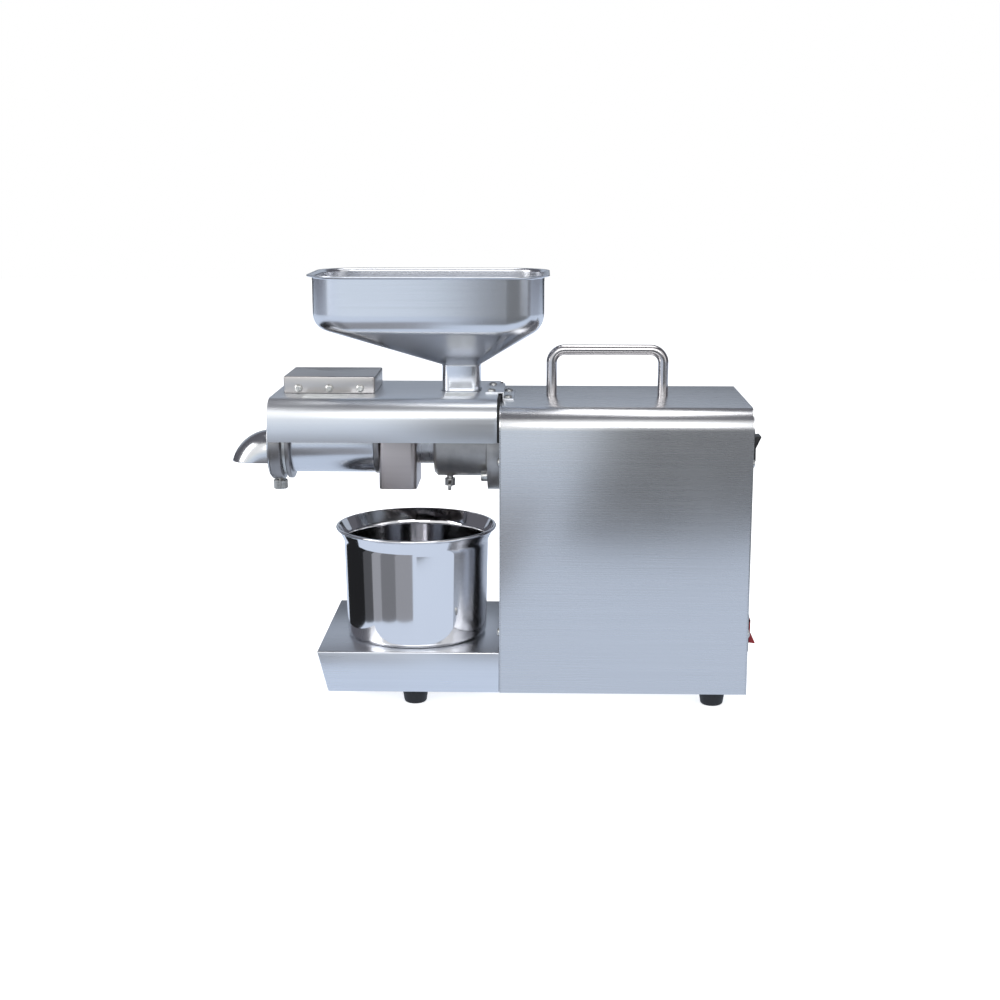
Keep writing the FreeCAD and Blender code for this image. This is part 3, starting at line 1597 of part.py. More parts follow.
def make_output_shaft():
    """The shaft that drives the screw through a hexagonal socket."""
    start = value("left_face - neck_end_wall + screw_end_gap / 2")
    radius = value("output_shaft_diameter / 2")
    shaft = solid_rod(radius, start, value("lid_right"))
    width = value("drive_hex_width + 2 * drive_hex_gap")
    length = value("drive_hex_length + screw_end_gap")
    shaft = shaft.cut(hexagon(width, length, start))
    shaped("output_shaft", shaft).Placement.Base = Vector(0, 0, value("barrel_z"))


def make_press_screw():
    """The pressing worm: its root grows towards the die, so the space gets smaller."""
    right = value("left_face - neck_end_wall - screw_end_gap / 2")
    thrust = right - value("screw_thrust_width")
    left = value("left_face - collar_far + die_length + die_gap")
    nose = left - value("screw_nose_length")
    crest = value("tube_bore / 2 - flight_gap")
    feed_root = value("screw_root_feed_diameter / 2")
    die_root = value("screw_root_die_diameter / 2")
    nose_radius = value("screw_nose_diameter / 2")
    along = Vector(1, 0, 0)
    screw = Part.makeCone(die_root, feed_root, thrust - left, Vector(left, 0, 0), along)
    tip = Part.makeCone(nose_radius, die_root, left - nose, Vector(nose, 0, 0), along)
    screw = screw.fuse(tip).fuse(solid_rod(crest, thrust, right))
    hexagon_length = value("drive_hex_length")
    screw = screw.fuse(hexagon(value("drive_hex_width"), hexagon_length, right))
    # the flight is a blade swept along a helix, sunk a little into the root
    pitch = value("flight_pitch")
    turns = (thrust - left - value("flight_width")) / pitch
    helix = Part.makeHelix(pitch, turns * pitch, crest)
    half, crest_half = value("flight_width / 2"), value("flight_crest_width / 2")
    sunk = feed_root - value("flight_sink")
    blade = [
        Vector(sunk, 0, -half),
        Vector(crest, 0, -crest_half),
        Vector(crest, 0, crest_half),
        Vector(sunk, 0, half),
    ]
    section = Part.makePolygon(blade + blade[:1])
    flight = Part.Wire(helix).makePipeShell([section], True, True)
    upright = FreeCAD.Rotation(Vector(0, 1, 0), 90)
    flight.Placement = FreeCAD.Placement(Vector(left + half, 0, 0), upright)
    screw = screw.fuse(flight)
    shaped("press_screw", screw).Placement.Base = Vector(0, 0, value("barrel_z"))


# --- the gear case ---------------------------------------------------------------------

SHAFT_HEIGHTS = ("barrel_z", "second_z", "first_z")


def case_outline(half):
    """A slot-shaped outline round the shafts, from the motor's height to the barrel's."""
    bottom = f"motor_z - ({half})"
    top = f"barrel_z + ({half})"
    return rectangle(negative(half), bottom, half, top, f"{half} - case_flat / 2")


def case_ears():
    """The centres of the ears for the lid's bolts."""
    side = "case_radius + case_ear_diameter / 4"
    heights = ("barrel_z", "(barrel_z + motor_z) / 2", "motor_z")
    return [(s, height) for s in (side, negative(side)) for height in heights]


def bearing_seats(side):
    """The circles of the bearing seats and of their bosses."""
    big, small = "output_bearing_diameter / 2", "small_bearing_diameter / 2"
    radii = (big, small, small)
    gap = {"seat": "seat_gap", "boss": "bearing_boss_wall"}[side]
    return [("0", z, f"{r} + {gap}") for z, r in zip(SHAFT_HEIGHTS, radii)]


def make_gearbox_case():
    body = new_body("gearbox_case")
    wall_face = "case_left + case_end_wall"
    extrude(body, "x", "case_left", "lid_left", [case_outline("case_radius")])
    hollow = case_outline("case_radius - case_wall")
    extrude(body, "x", wall_face, "lid_left", [hollow], cut=True)
    extrude(body, "x", wall_face, "boss_face", circles=bearing_seats("boss"))
    big, *small = bearing_seats("seat")
    extrude(body, "x", "case_left", "boss_face", circles=[big], cut=True)
    seat_left = "boss_face - small_bearing_width"
    extrude(body, "x", seat_left, "boss_face", circles=small, cut=True)
    ears = [(y, z, "case_ear_diameter / 2") for y, z in case_ears()]
    extrude(body, "x", "lid_left - case_ear_depth", "lid_left", circles=ears)
    tapped = [(y, z, "case_bolt_diameter / 2 + screw_clearance") for y, z in case_ears()]
    extrude(body, "x", "lid_left - case_ear_depth", "lid_left", circles=tapped, cut=True)
    bolt_hole = "neck_bolt_diameter / 2 + screw_clearance"
    holes = [(y, z, bolt_hole) for _, y, z in neck_bolt_places("case_left")]
    extrude(body, "x", "case_left", wall_face, circles=holes, cut=True)


def make_gearbox_lid():
    body = new_body("gearbox_lid")
    extrude(body, "x", "lid_left", "lid_right", [case_outline("case_radius")])
    ears = [(y, z, "case_ear_diameter / 2") for y, z in case_ears()]
    extrude(body, "x", "lid_left", "lid_right", circles=ears)
    big, *small = bearing_seats("boss")
    extrude(body, "x", "lid_right - output_bearing_width", "lid_left", circles=[big])
    extrude(body, "x", "lid_right - small_bearing_width", "lid_left", circles=small)
    big, *small = bearing_seats("seat")
    left = "lid_right - output_bearing_width"
    extrude(body, "x", left, "lid_right", circles=[big], cut=True)
    left = "lid_right - small_bearing_width"
    extrude(body, "x", left, "lid_right", circles=small, cut=True)
    holes = [(y, z, "case_bolt_diameter / 2 + screw_clearance") for y, z in case_ears()]
    holes.append(("0", "motor_z", "countershaft_diameter / 2 + lid_shaft_gap"))
    extrude(body, "x", "lid_left", "lid_right", circles=holes, cut=True)
    places = [("lid_right", y, z) for y, z in case_ears()]
    grip = "case_end_wall + case_ear_depth - case_bolt_short"
    sizes = ("case_bolt_diameter", "screw_head_diameter", "screw_head_height")
    compound("gearbox_bolts", headed_screws("gearbox_bolt", "-x", places, grip, sizes))


def make_bearings():
    """Plain rings stand for the ball bearings."""
    big = ("output_bearing_width", "output_bearing_diameter / 2", "output_shaft_diameter / 2")
    small = ("small_bearing_width", "small_bearing_diameter / 2", "countershaft_diameter / 2")

    def bearing(name, left, height, size):
        width, outer, inner = size
        return ring(name, (left, "0", height), width, outer, f"{inner} + running_gap")

    rear = "lid_right - output_bearing_width"
    items = [bearing("output_bearing", left, "barrel_z", big) for left in ("case_left", rear)]
    for height in ("second_z", "first_z"):
        for left in ("boss_face - small_bearing_width", "lid_right - small_bearing_width"):
            items.append(bearing("countershaft_bearing", left, height, small))
    compound("gearbox_bearings", items)
    items = []
    for left in ("motor_left", "motor_right - small_bearing_width"):
        items.append(bearing("motor_bearing", left, "motor_z", small))
    compound("motor_bearings", items)


# --- the motor -------------------------------------------------------------------------

MOTOR_AXIS = ("0", "motor_z")


def make_motor():
    seat = "small_bearing_diameter / 2 + seat_gap"
    inner = "motor_radius - motor_shell"

    def motor_ring(label, left, right, outer, bore):
        outline = [(left, bore), (right, bore), (right, outer), (left, outer)]
        turn(new_body(label), "x", MOTOR_AXIS, [outline])

    bell = "motor_bell_length"
    bells = [
        ring("motor_bell", (left, "0", "motor_z"), bell, "motor_radius", seat)
        for left in ("motor_left", f"motor_right - {bell}")
    ]
    # the front bell's spigot centres the motor on the gear case
    spigot = ("lid_right", "0", "motor_z")
    radius = "motor_spigot_diameter / 2"
    collar = ring("motor_spigot", spigot, "motor_spigot_length", radius, seat)
    bells[0] = fuse("motor_front_bell", bells[0], collar)
    compound("motor_bells", bells)
    shell_left, shell_right = f"motor_left + {bell}", f"motor_right - {bell}"
    motor_ring("motor_case", shell_left, shell_right, "motor_radius", inner)
    middle = "(motor_left + motor_right) / 2"
    stack = (f"{middle} - stator_length / 2", f"{middle} + stator_length / 2")
    motor_ring("stator_core", *stack, f"{inner} - seat_gap", "stator_bore / 2")
    shaft = "countershaft_diameter / 2 + seat_gap"
    motor_ring("rotor_core", *stack, "stator_bore / 2 - rotor_gap", shaft)


def make_cooling_fan():
    body = new_body("cooling_fan")
    right = "fan_left + fan_width"
    hub = "fan_hub_diameter / 2"
    shaft = "countershaft_diameter / 2 + seat_gap"
    outline = [("fan_left", shaft), (right, shaft), (right, hub), ("fan_left", hub)]
    turn(body, "x", MOTOR_AXIS, [outline])
    half = "fan_blade_thickness / 2"
    blade = rectangle(negative(half), f"{hub} - fan_blade_root", half, "fan_diameter / 2")
    first = extrude(body, "x", "fan_left", right, [blade], shift=MOTOR_AXIS)
    axis_sketch = new_sketch(body, "y", "0", MOTOR_AXIS)
    doc.recompute()
    pattern = body.newObject("PartDesign::PolarPattern", "fan_blades")
    pattern.Originals = [first]
    pattern.Axis = (axis_sketch, ["H_Axis"])
    pattern.Angle = 360
    bind(pattern, Occurrences="fan_blade_count")
    body.Tip = pattern
    finish_feature(body, pattern, True)


def make_motor_cradle():
    """A folded saddle between the floor pan and the motor."""
    body = new_body("motor_cradle")
    left = "motor_left + cradle_inset"
    right = f"{left} + cradle_length"
    plate = "cradle_plate"
    top = "motor_z - motor_radius / 3"
    outline = [
        (left, "pan_top"),
        (right, "pan_top"),
        (right, top),
        (f"{right} - {plate}", top),
        (f"{right} - {plate}", f"pan_top + {plate}"),
        (f"{left} + {plate}", f"pan_top + {plate}"),
        (f"{left} + {plate}", top),
        (left, top),
    ]
    extrude(body, "y", "-cradle_width / 2", "cradle_width / 2", [outline])
    saddle = ("0", "motor_z", "motor_radius + seat_gap")
    extrude(body, "x", left, right, circles=[saddle], cut=True)


def make_capacitor():
    """The motor's run capacitor lies on the pan under a clip."""
    radius = "capacitor_diameter / 2"
    left = "capacitor_x"
    place = (left, "capacitor_y", f"pan_top + {radius} + seat_gap")
    can = cylinder("run_capacitor", "+x", place, "0", "capacitor_length", radius)
    nodes.append(can)
    body = new_body("capacitor_clip")
    plate = "capacitor_clip_plate"
    start = f"{left} + capacitor_length / 2 - capacitor_clip_width / 2"
    inner = f"({radius} + seat_gap)"
    outer = f"({inner} + {plate})"
    strap = [
        (negative(outer), "pan_top"),
        (negative(outer), f"pan_top + {inner} + {outer}", f"{outer} - capacitor_clip_flat"),
        (outer, f"pan_top + {inner} + {outer}", f"{outer} - capacitor_clip_flat"),
        (outer, "pan_top"),
        (inner, "pan_top"),
        (inner, f"pan_top + 2 * {inner}", f"{inner} - capacitor_clip_flat"),
        (negative(inner), f"pan_top + 2 * {inner}", f"{inner} - capacitor_clip_flat"),
        (negative(inner), "pan_top"),
    ]
    end = f"{start} + capacitor_clip_width"
    extrude(body, "x", start, end, [strap], shift=("capacitor_y", "0"))


# --- the rear panel's fittings ---------------------------------------------------------


def make_switch(name, height, tilt):
    """A switch body in the panel, and its rocker on two pins."""
    side = "-switch_side"
    body = new_body(name + "_switch")
    width = "switch_window_width + 2 * switch_wall"
    length = "switch_window_height + 2 * switch_wall"
    back = "right_face - switch_body_depth"
    front = "right_face + switch_bezel_thickness"
    extrude(body, "x", back, front, [centred(side, height, width, length)])
    bezel = centred(
        side,
        height,
        f"{width} + 2 * switch_bezel_width",
        f"{length} + 2 * switch_bezel_width",
        "switch_bezel_radius",
    )
    extrude(body, "x", "right_face", front, [bezel])
    window = centred(side, height, "switch_window_width", "switch_window_height")
    floor = "right_face - switch_cavity_depth"
    extrude(body, "x", floor, front, [window], cut=True)
    pivot = ("right_face + rocker_pivot_rise", height)
    pin_radius = "rocker_pin_diameter / 2"
    start = f"{side} - ({width}) / 2"
    end = f"{side} + ({width}) / 2"
    hole = (*pivot, f"{pin_radius} + running_gap")
    extrude(body, "y", start, end, circles=[hole], cut=True)

    rocker = new_body(name + "_rocker")
    half = "rocker_length / 2"
    root = "rocker_root_length / 2"
    outline = [
        ("rocker_middle_rise", "0"),
        ("rocker_tip_rise", half, "rocker_tip_radius"),
        ("-rocker_root_depth", root, "rocker_root_radius"),
        ("-rocker_root_depth", negative(root), "rocker_root_radius"),
        ("rocker_tip_rise", negative(half), "rocker_tip_radius"),
    ]
    reach = "(switch_window_width / 2 - rocker_gap)"
    extrude(rocker, "y", negative(reach), reach, [outline])
    pin = "(switch_window_width / 2 + switch_wall / 2)"
    extrude(rocker, "y", negative(pin), pin, circles=[("0", "0", pin_radius)])
    rocker.Placement.Rotation = FreeCAD.Rotation(Vector(0, 1, 0), 1)
    bind(rocker, Placement__Base__x=pivot[0], Placement__Base__y=side)
    bind(rocker, Placement__Base__z=height, Placement__Rotation__Angle=tilt)


def make_power_inlet():
    """A flanged appliance inlet with three flat pins."""
    body = new_body("power_inlet")
    front = "right_face + inlet_flange_thickness"
    length, height = "inlet_flange_length", "inlet_flange_height"
    flange = centred("inlet_side", "inlet_z", length, height, "inlet_flange_radius")
    extrude(body, "x", "right_face", front, [flange])
    block = centred("inlet_side", "inlet_z", "inlet_body_length", "inlet_body_height")
    extrude(body, "x", "right_face - inlet_body_depth", "right_face", [block])
    length, height = "inlet_socket_length / 2", "inlet_socket_height / 2"
    chamfer = "inlet_socket_height / 3"
    y, z = "inlet_side", "inlet_z"
    socket = [
        (f"{y} - {length}", f"{z} - {height}"),
        (f"{y} + {length}", f"{z} - {height}"),
        (f"{y} + {length}", f"{z} + {height} - {chamfer}"),
        (f"{y} + {length} - {chamfer}", f"{z} + {height}"),
        (f"{y} - {length} + {chamfer}", f"{z} + {height}"),
        (f"{y} - {length}", f"{z} + {height} - {chamfer}"),
    ]
    floor = f"{front} - inlet_socket_depth"
    extrude(body, "x", floor, front, [socket], cut=True)
    pins = []
    for step, rise in ((-1, "-1.5"), (0, "1.5"), (1, "-1.5")):
        pin = doc.addObject("Part::Box", f"inlet_pin_{step + 1}")
        bind(pin, Length="inlet_pin_length", Width="inlet_pin_width")
        bind(pin, Height="inlet_pin_height", Placement__Base__x=floor)
        shift = f"inlet_side + {step} * inlet_pin_spacing - inlet_pin_width / 2"
        bind(pin, Placement__Base__y=shift)
        bind(pin, Placement__Base__z=f"inlet_z + {rise} - inlet_pin_height / 2")
        pins.append(pin)
    compound("inlet_pins", pins)


# --- the whole press -------------------------------------------------------------------

make_base_pan()
make_wrap_cover()
make_front_end_plate()
make_rear_end_plate()
make_feet()
make_cabinet_screws()
make_carry_handle()
make_barrel_cover()
make_cover_gasket()
make_terminal_box()
make_joint_bracket()
make_cover_screws()
make_feed_neck()
make_chamber_tube()
make_oil_outlet_box()
make_barrel_rings()
make_die_ring()
make_spout_collar()
make_spout()
make_spout_screw()
make_wing_bolt()
make_hopper()
make_cup_tray()
make_oil_cup()
make_gear_train()
make_output_shaft()
make_press_screw()
make_gearbox_case()
make_gearbox_lid()
make_bearings()
make_motor()
make_cooling_fan()
make_motor_cradle()
make_capacitor()
make_switch("direction", "direction_z", "rocker_tilt")
make_switch("power", "power_z", "-rocker_tilt")
make_power_inlet()
doc.recompute()

for item in doc.Objects:
    if "Invalid" in item.State or "Error" in item.State:
        raise RuntimeError(f"{item.Label} could not be made: {item.State}")
os.makedirs("parts", exist_ok=True)
for node in nodes:
    shape = node.Shape
    if shape.isNull() or not shape.isValid() or not shape.Solids:
        raise RuntimeError(f"{node.Label} has no valid shape")
    shape.exportStep(f"parts/{node.Label}.step")
    box = shape.BoundBox
    print(
        f"{node.Label:24s} {len(shape.Solids)} solid(s) {shape.Volume:10.1f} mm3"
        f"  x {box.XMin:7.1f} {box.XMax:7.1f}"
        f"  y {box.YMin:7.1f} {box.YMax:7.1f}"
        f"  z {box.ZMin:7.1f} {box.ZMax:7.1f}"
    )
print(len(nodes), "sub-parts")
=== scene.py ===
"""The looks of a table-top screw oil press, built round its packed construction.

Lengths are metres. +X runs from the spout to the switch panel, the front faces -Y, +Z is up.
"""

import json
import math

import bmesh
import bpy
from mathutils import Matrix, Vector


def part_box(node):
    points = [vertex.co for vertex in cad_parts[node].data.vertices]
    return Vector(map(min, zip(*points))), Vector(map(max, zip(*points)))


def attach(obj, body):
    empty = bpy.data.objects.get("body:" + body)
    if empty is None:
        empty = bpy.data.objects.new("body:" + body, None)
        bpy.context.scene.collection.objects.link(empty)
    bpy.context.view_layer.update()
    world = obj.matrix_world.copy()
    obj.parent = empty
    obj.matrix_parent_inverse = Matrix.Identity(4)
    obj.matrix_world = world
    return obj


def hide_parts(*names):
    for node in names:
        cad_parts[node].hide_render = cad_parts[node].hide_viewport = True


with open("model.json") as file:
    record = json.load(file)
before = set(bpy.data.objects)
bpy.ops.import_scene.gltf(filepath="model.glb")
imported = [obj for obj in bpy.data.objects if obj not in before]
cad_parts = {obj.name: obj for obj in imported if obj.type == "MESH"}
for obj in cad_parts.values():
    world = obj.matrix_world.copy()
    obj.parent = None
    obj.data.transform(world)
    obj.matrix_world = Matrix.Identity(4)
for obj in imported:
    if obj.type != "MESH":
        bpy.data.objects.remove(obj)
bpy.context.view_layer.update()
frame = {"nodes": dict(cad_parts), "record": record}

# --- sizes that the pieces share -------------------------------------------------------

SHEET = 0.0012
CABINET_BEND = 0.020
COVER_BEND = 0.019
COVER_FLARE = 0.0016
HOPPER_SHEET = 0.001
HOPPER_LIP = 0.005
HOPPER_FILLET = 0.0022
HOPPER_HEM = 0.0008
HOPPER_CORNER = 0.040
HOPPER_WALL = 0.048
HOPPER_BEND = 0.013
THROAT_WIDTH = 0.036
THROAT_CORNER = 0.008
THROAT_DROP = 0.086
HANDLE_ROD = 0.010
HANDLE_BEND = 0.012
SPOUT_BEND = 0.040
SPOUT_DROP = 0.0295
SPOUT_MOUTH_DROP = 0.019
SPOUT_HALF_WIDTH = 0.021
SPOUT_CORNER = 0.020
SPOUT_SHEET = 0.0015
SPOUT_BORE = 0.0185
LABEL_THICKNESS = 0.0002
LABEL_LENGTH = 0.039
LABEL_ENDS = (-0.172, -0.130)
LABEL_TOP_EDGE = -0.038
CUP_STREAK_RADIUS = 0.069


# --- building meshes -------------------------------------------------------------------


def add_object(name, mesh):
    piece = bpy.data.objects.new(name, mesh)
    bpy.context.scene.collection.objects.link(piece)
    return piece


def build(name, points, faces):
    """A new object from points and faces, with doubles merged and its faces turned outwards."""
    mesh = bpy.data.meshes.new(name)
    mesh.from_pydata([tuple(point) for point in points], [], faces)
    work = bmesh.new()
    work.from_mesh(mesh)
    bmesh.ops.remove_doubles(work, verts=work.verts, dist=1e-6)
    bmesh.ops.recalc_face_normals(work, faces=work.faces)
    work.to_mesh(mesh)
    work.free()
    return add_object(name, mesh)


def settle(piece):
    """Turn a piece's modifiers into plain mesh."""
    bpy.context.view_layer.update()
    evaluated = piece.evaluated_get(bpy.context.evaluated_depsgraph_get())
    mesh = bpy.data.meshes.new_from_object(evaluated)
    piece.modifiers.clear()
    piece.data = mesh
    return piece


def shade(piece, angle=32):
    """Smooth shading with sharp edges past an angle in degrees."""
    piece.data.shade_smooth()
    piece.data.set_sharp_from_angle(angle=math.radians(angle))
    return piece


def soften(piece, width, segments=2, angle=35):
    """Round the edges of a piece."""
    bevel = piece.modifiers.new("soft_edges", "BEVEL")
    bevel.width = width
    bevel.segments = segments
    bevel.limit_method = "ANGLE"
    bevel.angle_limit = math.radians(angle)
    bevel.use_clamp_overlap = True
    return settle(piece)


def thicken(piece, thickness, inwards=True):
    """Give a sheet its thickness."""
    wall = piece.modifiers.new("sheet_thickness", "SOLIDIFY")
    wall.thickness = thickness
    wall.offset = -1 if inwards else 1
    wall.use_even_offset = True
    return settle(piece)


def cut_away(piece, cutter):
    """Cut the cutter's shape out of a piece and delete the cutter."""
    hole = piece.modifiers.new("hole", "BOOLEAN")
    hole.operation = "DIFFERENCE"
    hole.solver = "EXACT"
    hole.object = cutter
    settle(piece)
    bpy.data.objects.remove(cutter)
    return piece


def join(name, pieces):
    """Make one object of several."""
    work = bmesh.new()
    for piece in pieces:
        work.from_mesh(piece.data)
        bpy.data.objects.remove(piece)
    mesh = bpy.data.meshes.new(name)
    work.to_mesh(mesh)
    work.free()
    return add_object(name, mesh)


def rounded(corners, closed=True, steps=6):
    """The points of an outline whose corners (point, radius) become arcs."""
    points = []
    count = len(corners)
    for index, (corner, radius) in enumerate(corners):
        corner = Vector(corner)
        at_end = not closed and index in (0, count - 1)
        if radius == 0 or at_end:
            points.append(corner)
            continue
        before = (Vector(corners[index - 1][0]) - corner).normalized()
        after = (Vector(corners[(index + 1) % count][0]) - corner).normalized()
        half = before.angle(after) / 2
        centre = corner + (before + after).normalized() * radius / math.sin(half)
        start = corner + before * radius / math.tan(half) - centre
        end = corner + after * radius / math.tan(half) - centre
        for step in range(steps + 1):
            share = step / steps
            points.append(centre + start.normalized().slerp(end.normalized(), share) * radius)
    return points


def flat(points):
    """Points of a plane outline, given as pairs, as vectors."""
    return [((x, y, 0), radius) for x, y, radius in points]


def outline(points, closed=True, steps=6):
    """An outline of (x, y, corner radius), as pairs."""
    return [(p.x, p.y) for p in rounded(flat(points), closed, steps)]


def rounded_rectangle(low_x, low_y, high_x, high_y, radius, steps=6):
    corners = [(low_x, low_y), (high_x, low_y), (high_x, high_y), (low_x, high_y)]
    return outline([(x, y, radius) for x, y in corners], steps=steps)


PLANES = {
    "x": lambda along, a, b: Vector((along, a, b)),
    "y": lambda along, a, b: Vector((a, along, b)),
    "z": lambda along, a, b: Vector((a, b, along)),
}


def prism(name, shape, low, high, axis):
    """A solid with the same outline all along an axis."""
    place = PLANES[axis]
    count = len(shape)
    points = [place(along, a, b) for along in (low, high) for a, b in shape]
    sides = [(i, (i + 1) % count, count + (i + 1) % count, count + i) for i in range(count)]
    caps = [tuple(range(count)), tuple(range(count, 2 * count))]
    return build(name, points, sides + caps)


def lathe(name, profile, centre, axis, segments=96, closed=True):
    """Turn a profile of (radius, height along the axis) pairs about an axis."""
    centre = Vector(centre)
    points = []
    for step in range(segments):
        turn = 2 * math.pi * step / segments
        across = (math.cos(turn), math.sin(turn))
        for radius, height in profile:
            place = PLANES[axis](height, radius * across[0], radius * across[1])
            points.append(centre + place)
    size = len(profile)
    spans = size if closed else size - 1
    faces = []
    for step in range(segments):
        here, there = step * size, (step + 1) % segments * size
        for k in range(spans):
            after = (k + 1) % size
            faces.append((here + k, here + after, there + after, there + k))
    return build(name, points, faces)


def skin(name, rings, closed=True):
    """A sheet through rings of as many points each."""
    size = len(rings[0])
    points = [point for ring in rings for point in ring]
    faces = []
    for row in range(len(rings) - 1):
        for k in range(size if closed else size - 1):
            after = (k + 1) % size
            here, there = row * size, (row + 1) * size
            faces.append((here + k, here + after, there + after, there + k))
    return build(name, points, faces)


def copy_of(node, name, width=0.0, segments=2):
    """A copy of a CAD node with its corners merged, its curves smooth and its edges softened."""
    piece = add_object(name, frame["nodes"][node].data.copy())
    piece.data.materials.clear()
    work = bmesh.new()
    work.from_mesh(piece.data)
    bmesh.ops.remove_doubles(work, verts=work.verts, dist=2e-6)
    flat_angle = math.radians(0.4)
    bmesh.ops.dissolve_limit(work, angle_limit=flat_angle, verts=work.verts, edges=work.edges)
    work.to_mesh(piece.data)
    work.free()
    if width:
        soften(piece, width, segments, angle=40)
    return shade(piece)


# --- materials -------------------------------------------------------------------------


class Finish:
    """A material's node tree, with short ways to add to it."""

    def __init__(self, name):
        self.material = bpy.data.materials.new(name)
        self.material.use_nodes = True
        self.nodes = self.material.node_tree.nodes
        self.shader = self.nodes["Principled BSDF"]
        self.place = self.add("ShaderNodeTexCoord")

    def add(self, kind, **settings):
        node = self.nodes.new(kind)
        for name, setting in settings.items():
            setattr(node, name, setting)
        return node

    def link(self, output, target):
        self.material.node_tree.links.new(output, target)

    def set(self, **values):
        for name, setting in values.items():
            self.shader.inputs[name.replace("_", " ").title()].default_value = setting

    def noise(self, stretch, scale=1.0, detail=3.0, roughness=0.5):
        """Noise on object coordinates, stretched along each axis."""
        mapping = self.add("ShaderNodeMapping")
        mapping.inputs["Scale"].default_value = stretch
        self.link(self.place.outputs["Object"], mapping.inputs["Vector"])
        noise = self.add("ShaderNodeTexNoise")
        noise.inputs["Scale"].default_value = scale
        noise.inputs["Detail"].default_value = detail
        noise.inputs["Roughness"].default_value = roughness
        self.link(mapping.outputs["Vector"], noise.inputs["Vector"])
        return noise.outputs["Fac"]

    def range(self, value, low, high, start=0.3, end=0.7):
        """Map a value from start..end to low..high."""
        node = self.add("ShaderNodeMapRange")
        node.inputs["From Min"].default_value = start
        node.inputs["From Max"].default_value = end
        node.inputs["To Min"].default_value = low
        node.inputs["To Max"].default_value = high
        self.link(value, node.inputs["Value"])
        return node.outputs["Result"]

    def math(self, operation, first, second):
        node = self.add("ShaderNodeMath", operation=operation)
        for socket, value in zip(node.inputs, (first, second)):
            if isinstance(value, (int, float)):
                socket.default_value = value
            else:
                self.link(value, socket)
        return node.outputs["Value"]

    def blend(self, share, first, second):
        """A colour between two colours."""
        node = self.add("ShaderNodeMix", data_type="RGBA")
        self.link(share, node.inputs["Factor"])
        for name, colour in (("A", first), ("B", second)):
            socket = [i for i in node.inputs if i.name == name and i.type == "RGBA"][0]
            if isinstance(colour, (tuple, list)):
                socket.default_value = (*colour, 1)
            else:
                self.link(colour, socket)
        return [o for o in node.outputs if o.type == "RGBA"][0]

    def bump(self, height, strength, distance):
        node = self.add("ShaderNodeBump")
        node.inputs["Strength"].default_value = strength
        node.inputs["Distance"].default_value = distance
        self.link(height, node.inputs["Height"])
        self.link(node.outputs["Normal"], self.shader.inputs["Normal"])

    def colour(self, value):
        self.link(value, self.shader.inputs["Base Color"])

    def roughness(self, value):
        self.link(value, self.shader.inputs["Roughness"])


def shaded(colour, factor):
    return tuple(channel * factor for channel in colour)


def brushed_steel(name, colour, rough, grain, depth=0.015):
    """Rolled sheet with fine lines along one axis and faint handling marks."""
    finish = Finish(name)
    finish.set(metallic=1.0)
    fine, coarse = 1500.0, 420.0
    lines = {
        "x": ((9.0, fine, fine), (4.0, coarse, coarse)),
        "y": ((fine, 9.0, fine), (coarse, 4.0, coarse)),
        "z": ((fine, fine, 9.0), (coarse, coarse, 4.0)),
    }[grain]
    hair = finish.noise(lines[0], detail=2.0)
    streak = finish.noise(lines[1], detail=3.0)
    cloud = finish.noise((9.0, 9.0, 9.0), detail=4.0)
    tone = finish.math("ADD", finish.math("MULTIPLY", streak, 0.6), finish.math("MULTIPLY", cloud, 0.4))
    share = finish.range(tone, 0.0, 1.0)
    finish.colour(finish.blend(share, shaded(colour, 0.97), shaded(colour, 1.02)))
    worn = finish.range(finish.math("ADD", hair, cloud), rough * 0.9, rough * 1.12, 0.7, 1.3)
    finish.roughness(worn)
    finish.bump(hair, depth, 0.0001)
    return finish.material


def polished_steel(name, colour, rough):
    """Bright polished metal with the faintest smears."""
    finish = Finish(name)
    finish.set(metallic=1.0)
    smear = finish.noise((14.0, 14.0, 5.0), detail=5.0)
    share = finish.range(smear, 0.0, 1.0)
    finish.colour(finish.blend(share, shaded(colour, 0.97), shaded(colour, 1.02)))
    finish.roughness(finish.range(smear, rough * 0.7, rough * 1.5))
    return finish.material


def turned_steel(name, colour, rough, axis="x"):
    """Machined metal with tool rings round one axis."""
    finish = Finish(name)
    finish.set(metallic=1.0)
    rings = {"x": (1800.0, 25.0, 25.0), "y": (25.0, 1800.0, 25.0), "z": (25.0, 25.0, 1800.0)}[axis]
    tool = finish.noise(rings, detail=2.0)
    cloud = finish.noise((60.0, 60.0, 60.0), detail=4.0)
    share = finish.range(cloud, 0.0, 1.0)
    finish.colour(finish.blend(share, shaded(colour, 0.86), shaded(colour, 1.08)))
    finish.roughness(finish.range(tool, rough * 0.8, rough * 1.25))
    finish.bump(tool, 0.12, 0.0001)
    return finish.material


def cast_metal(name, colour, rough, grit=0.35):
    """A casting with a sandy skin."""
    finish = Finish(name)
    finish.set(metallic=1.0)
    sand = finish.noise((1.0, 1.0, 1.0), 1400.0, detail=3.0)
    cloud = finish.noise((1.0, 1.0, 1.0), 70.0, detail=4.0)
    share = finish.range(cloud, 0.0, 1.0)
    finish.colour(finish.blend(share, shaded(colour, 0.8), shaded(colour, 1.1)))
    finish.roughness(finish.range(cloud, rough * 0.85, rough * 1.15))
    finish.bump(sand, grit, 0.0002)
    return finish.material


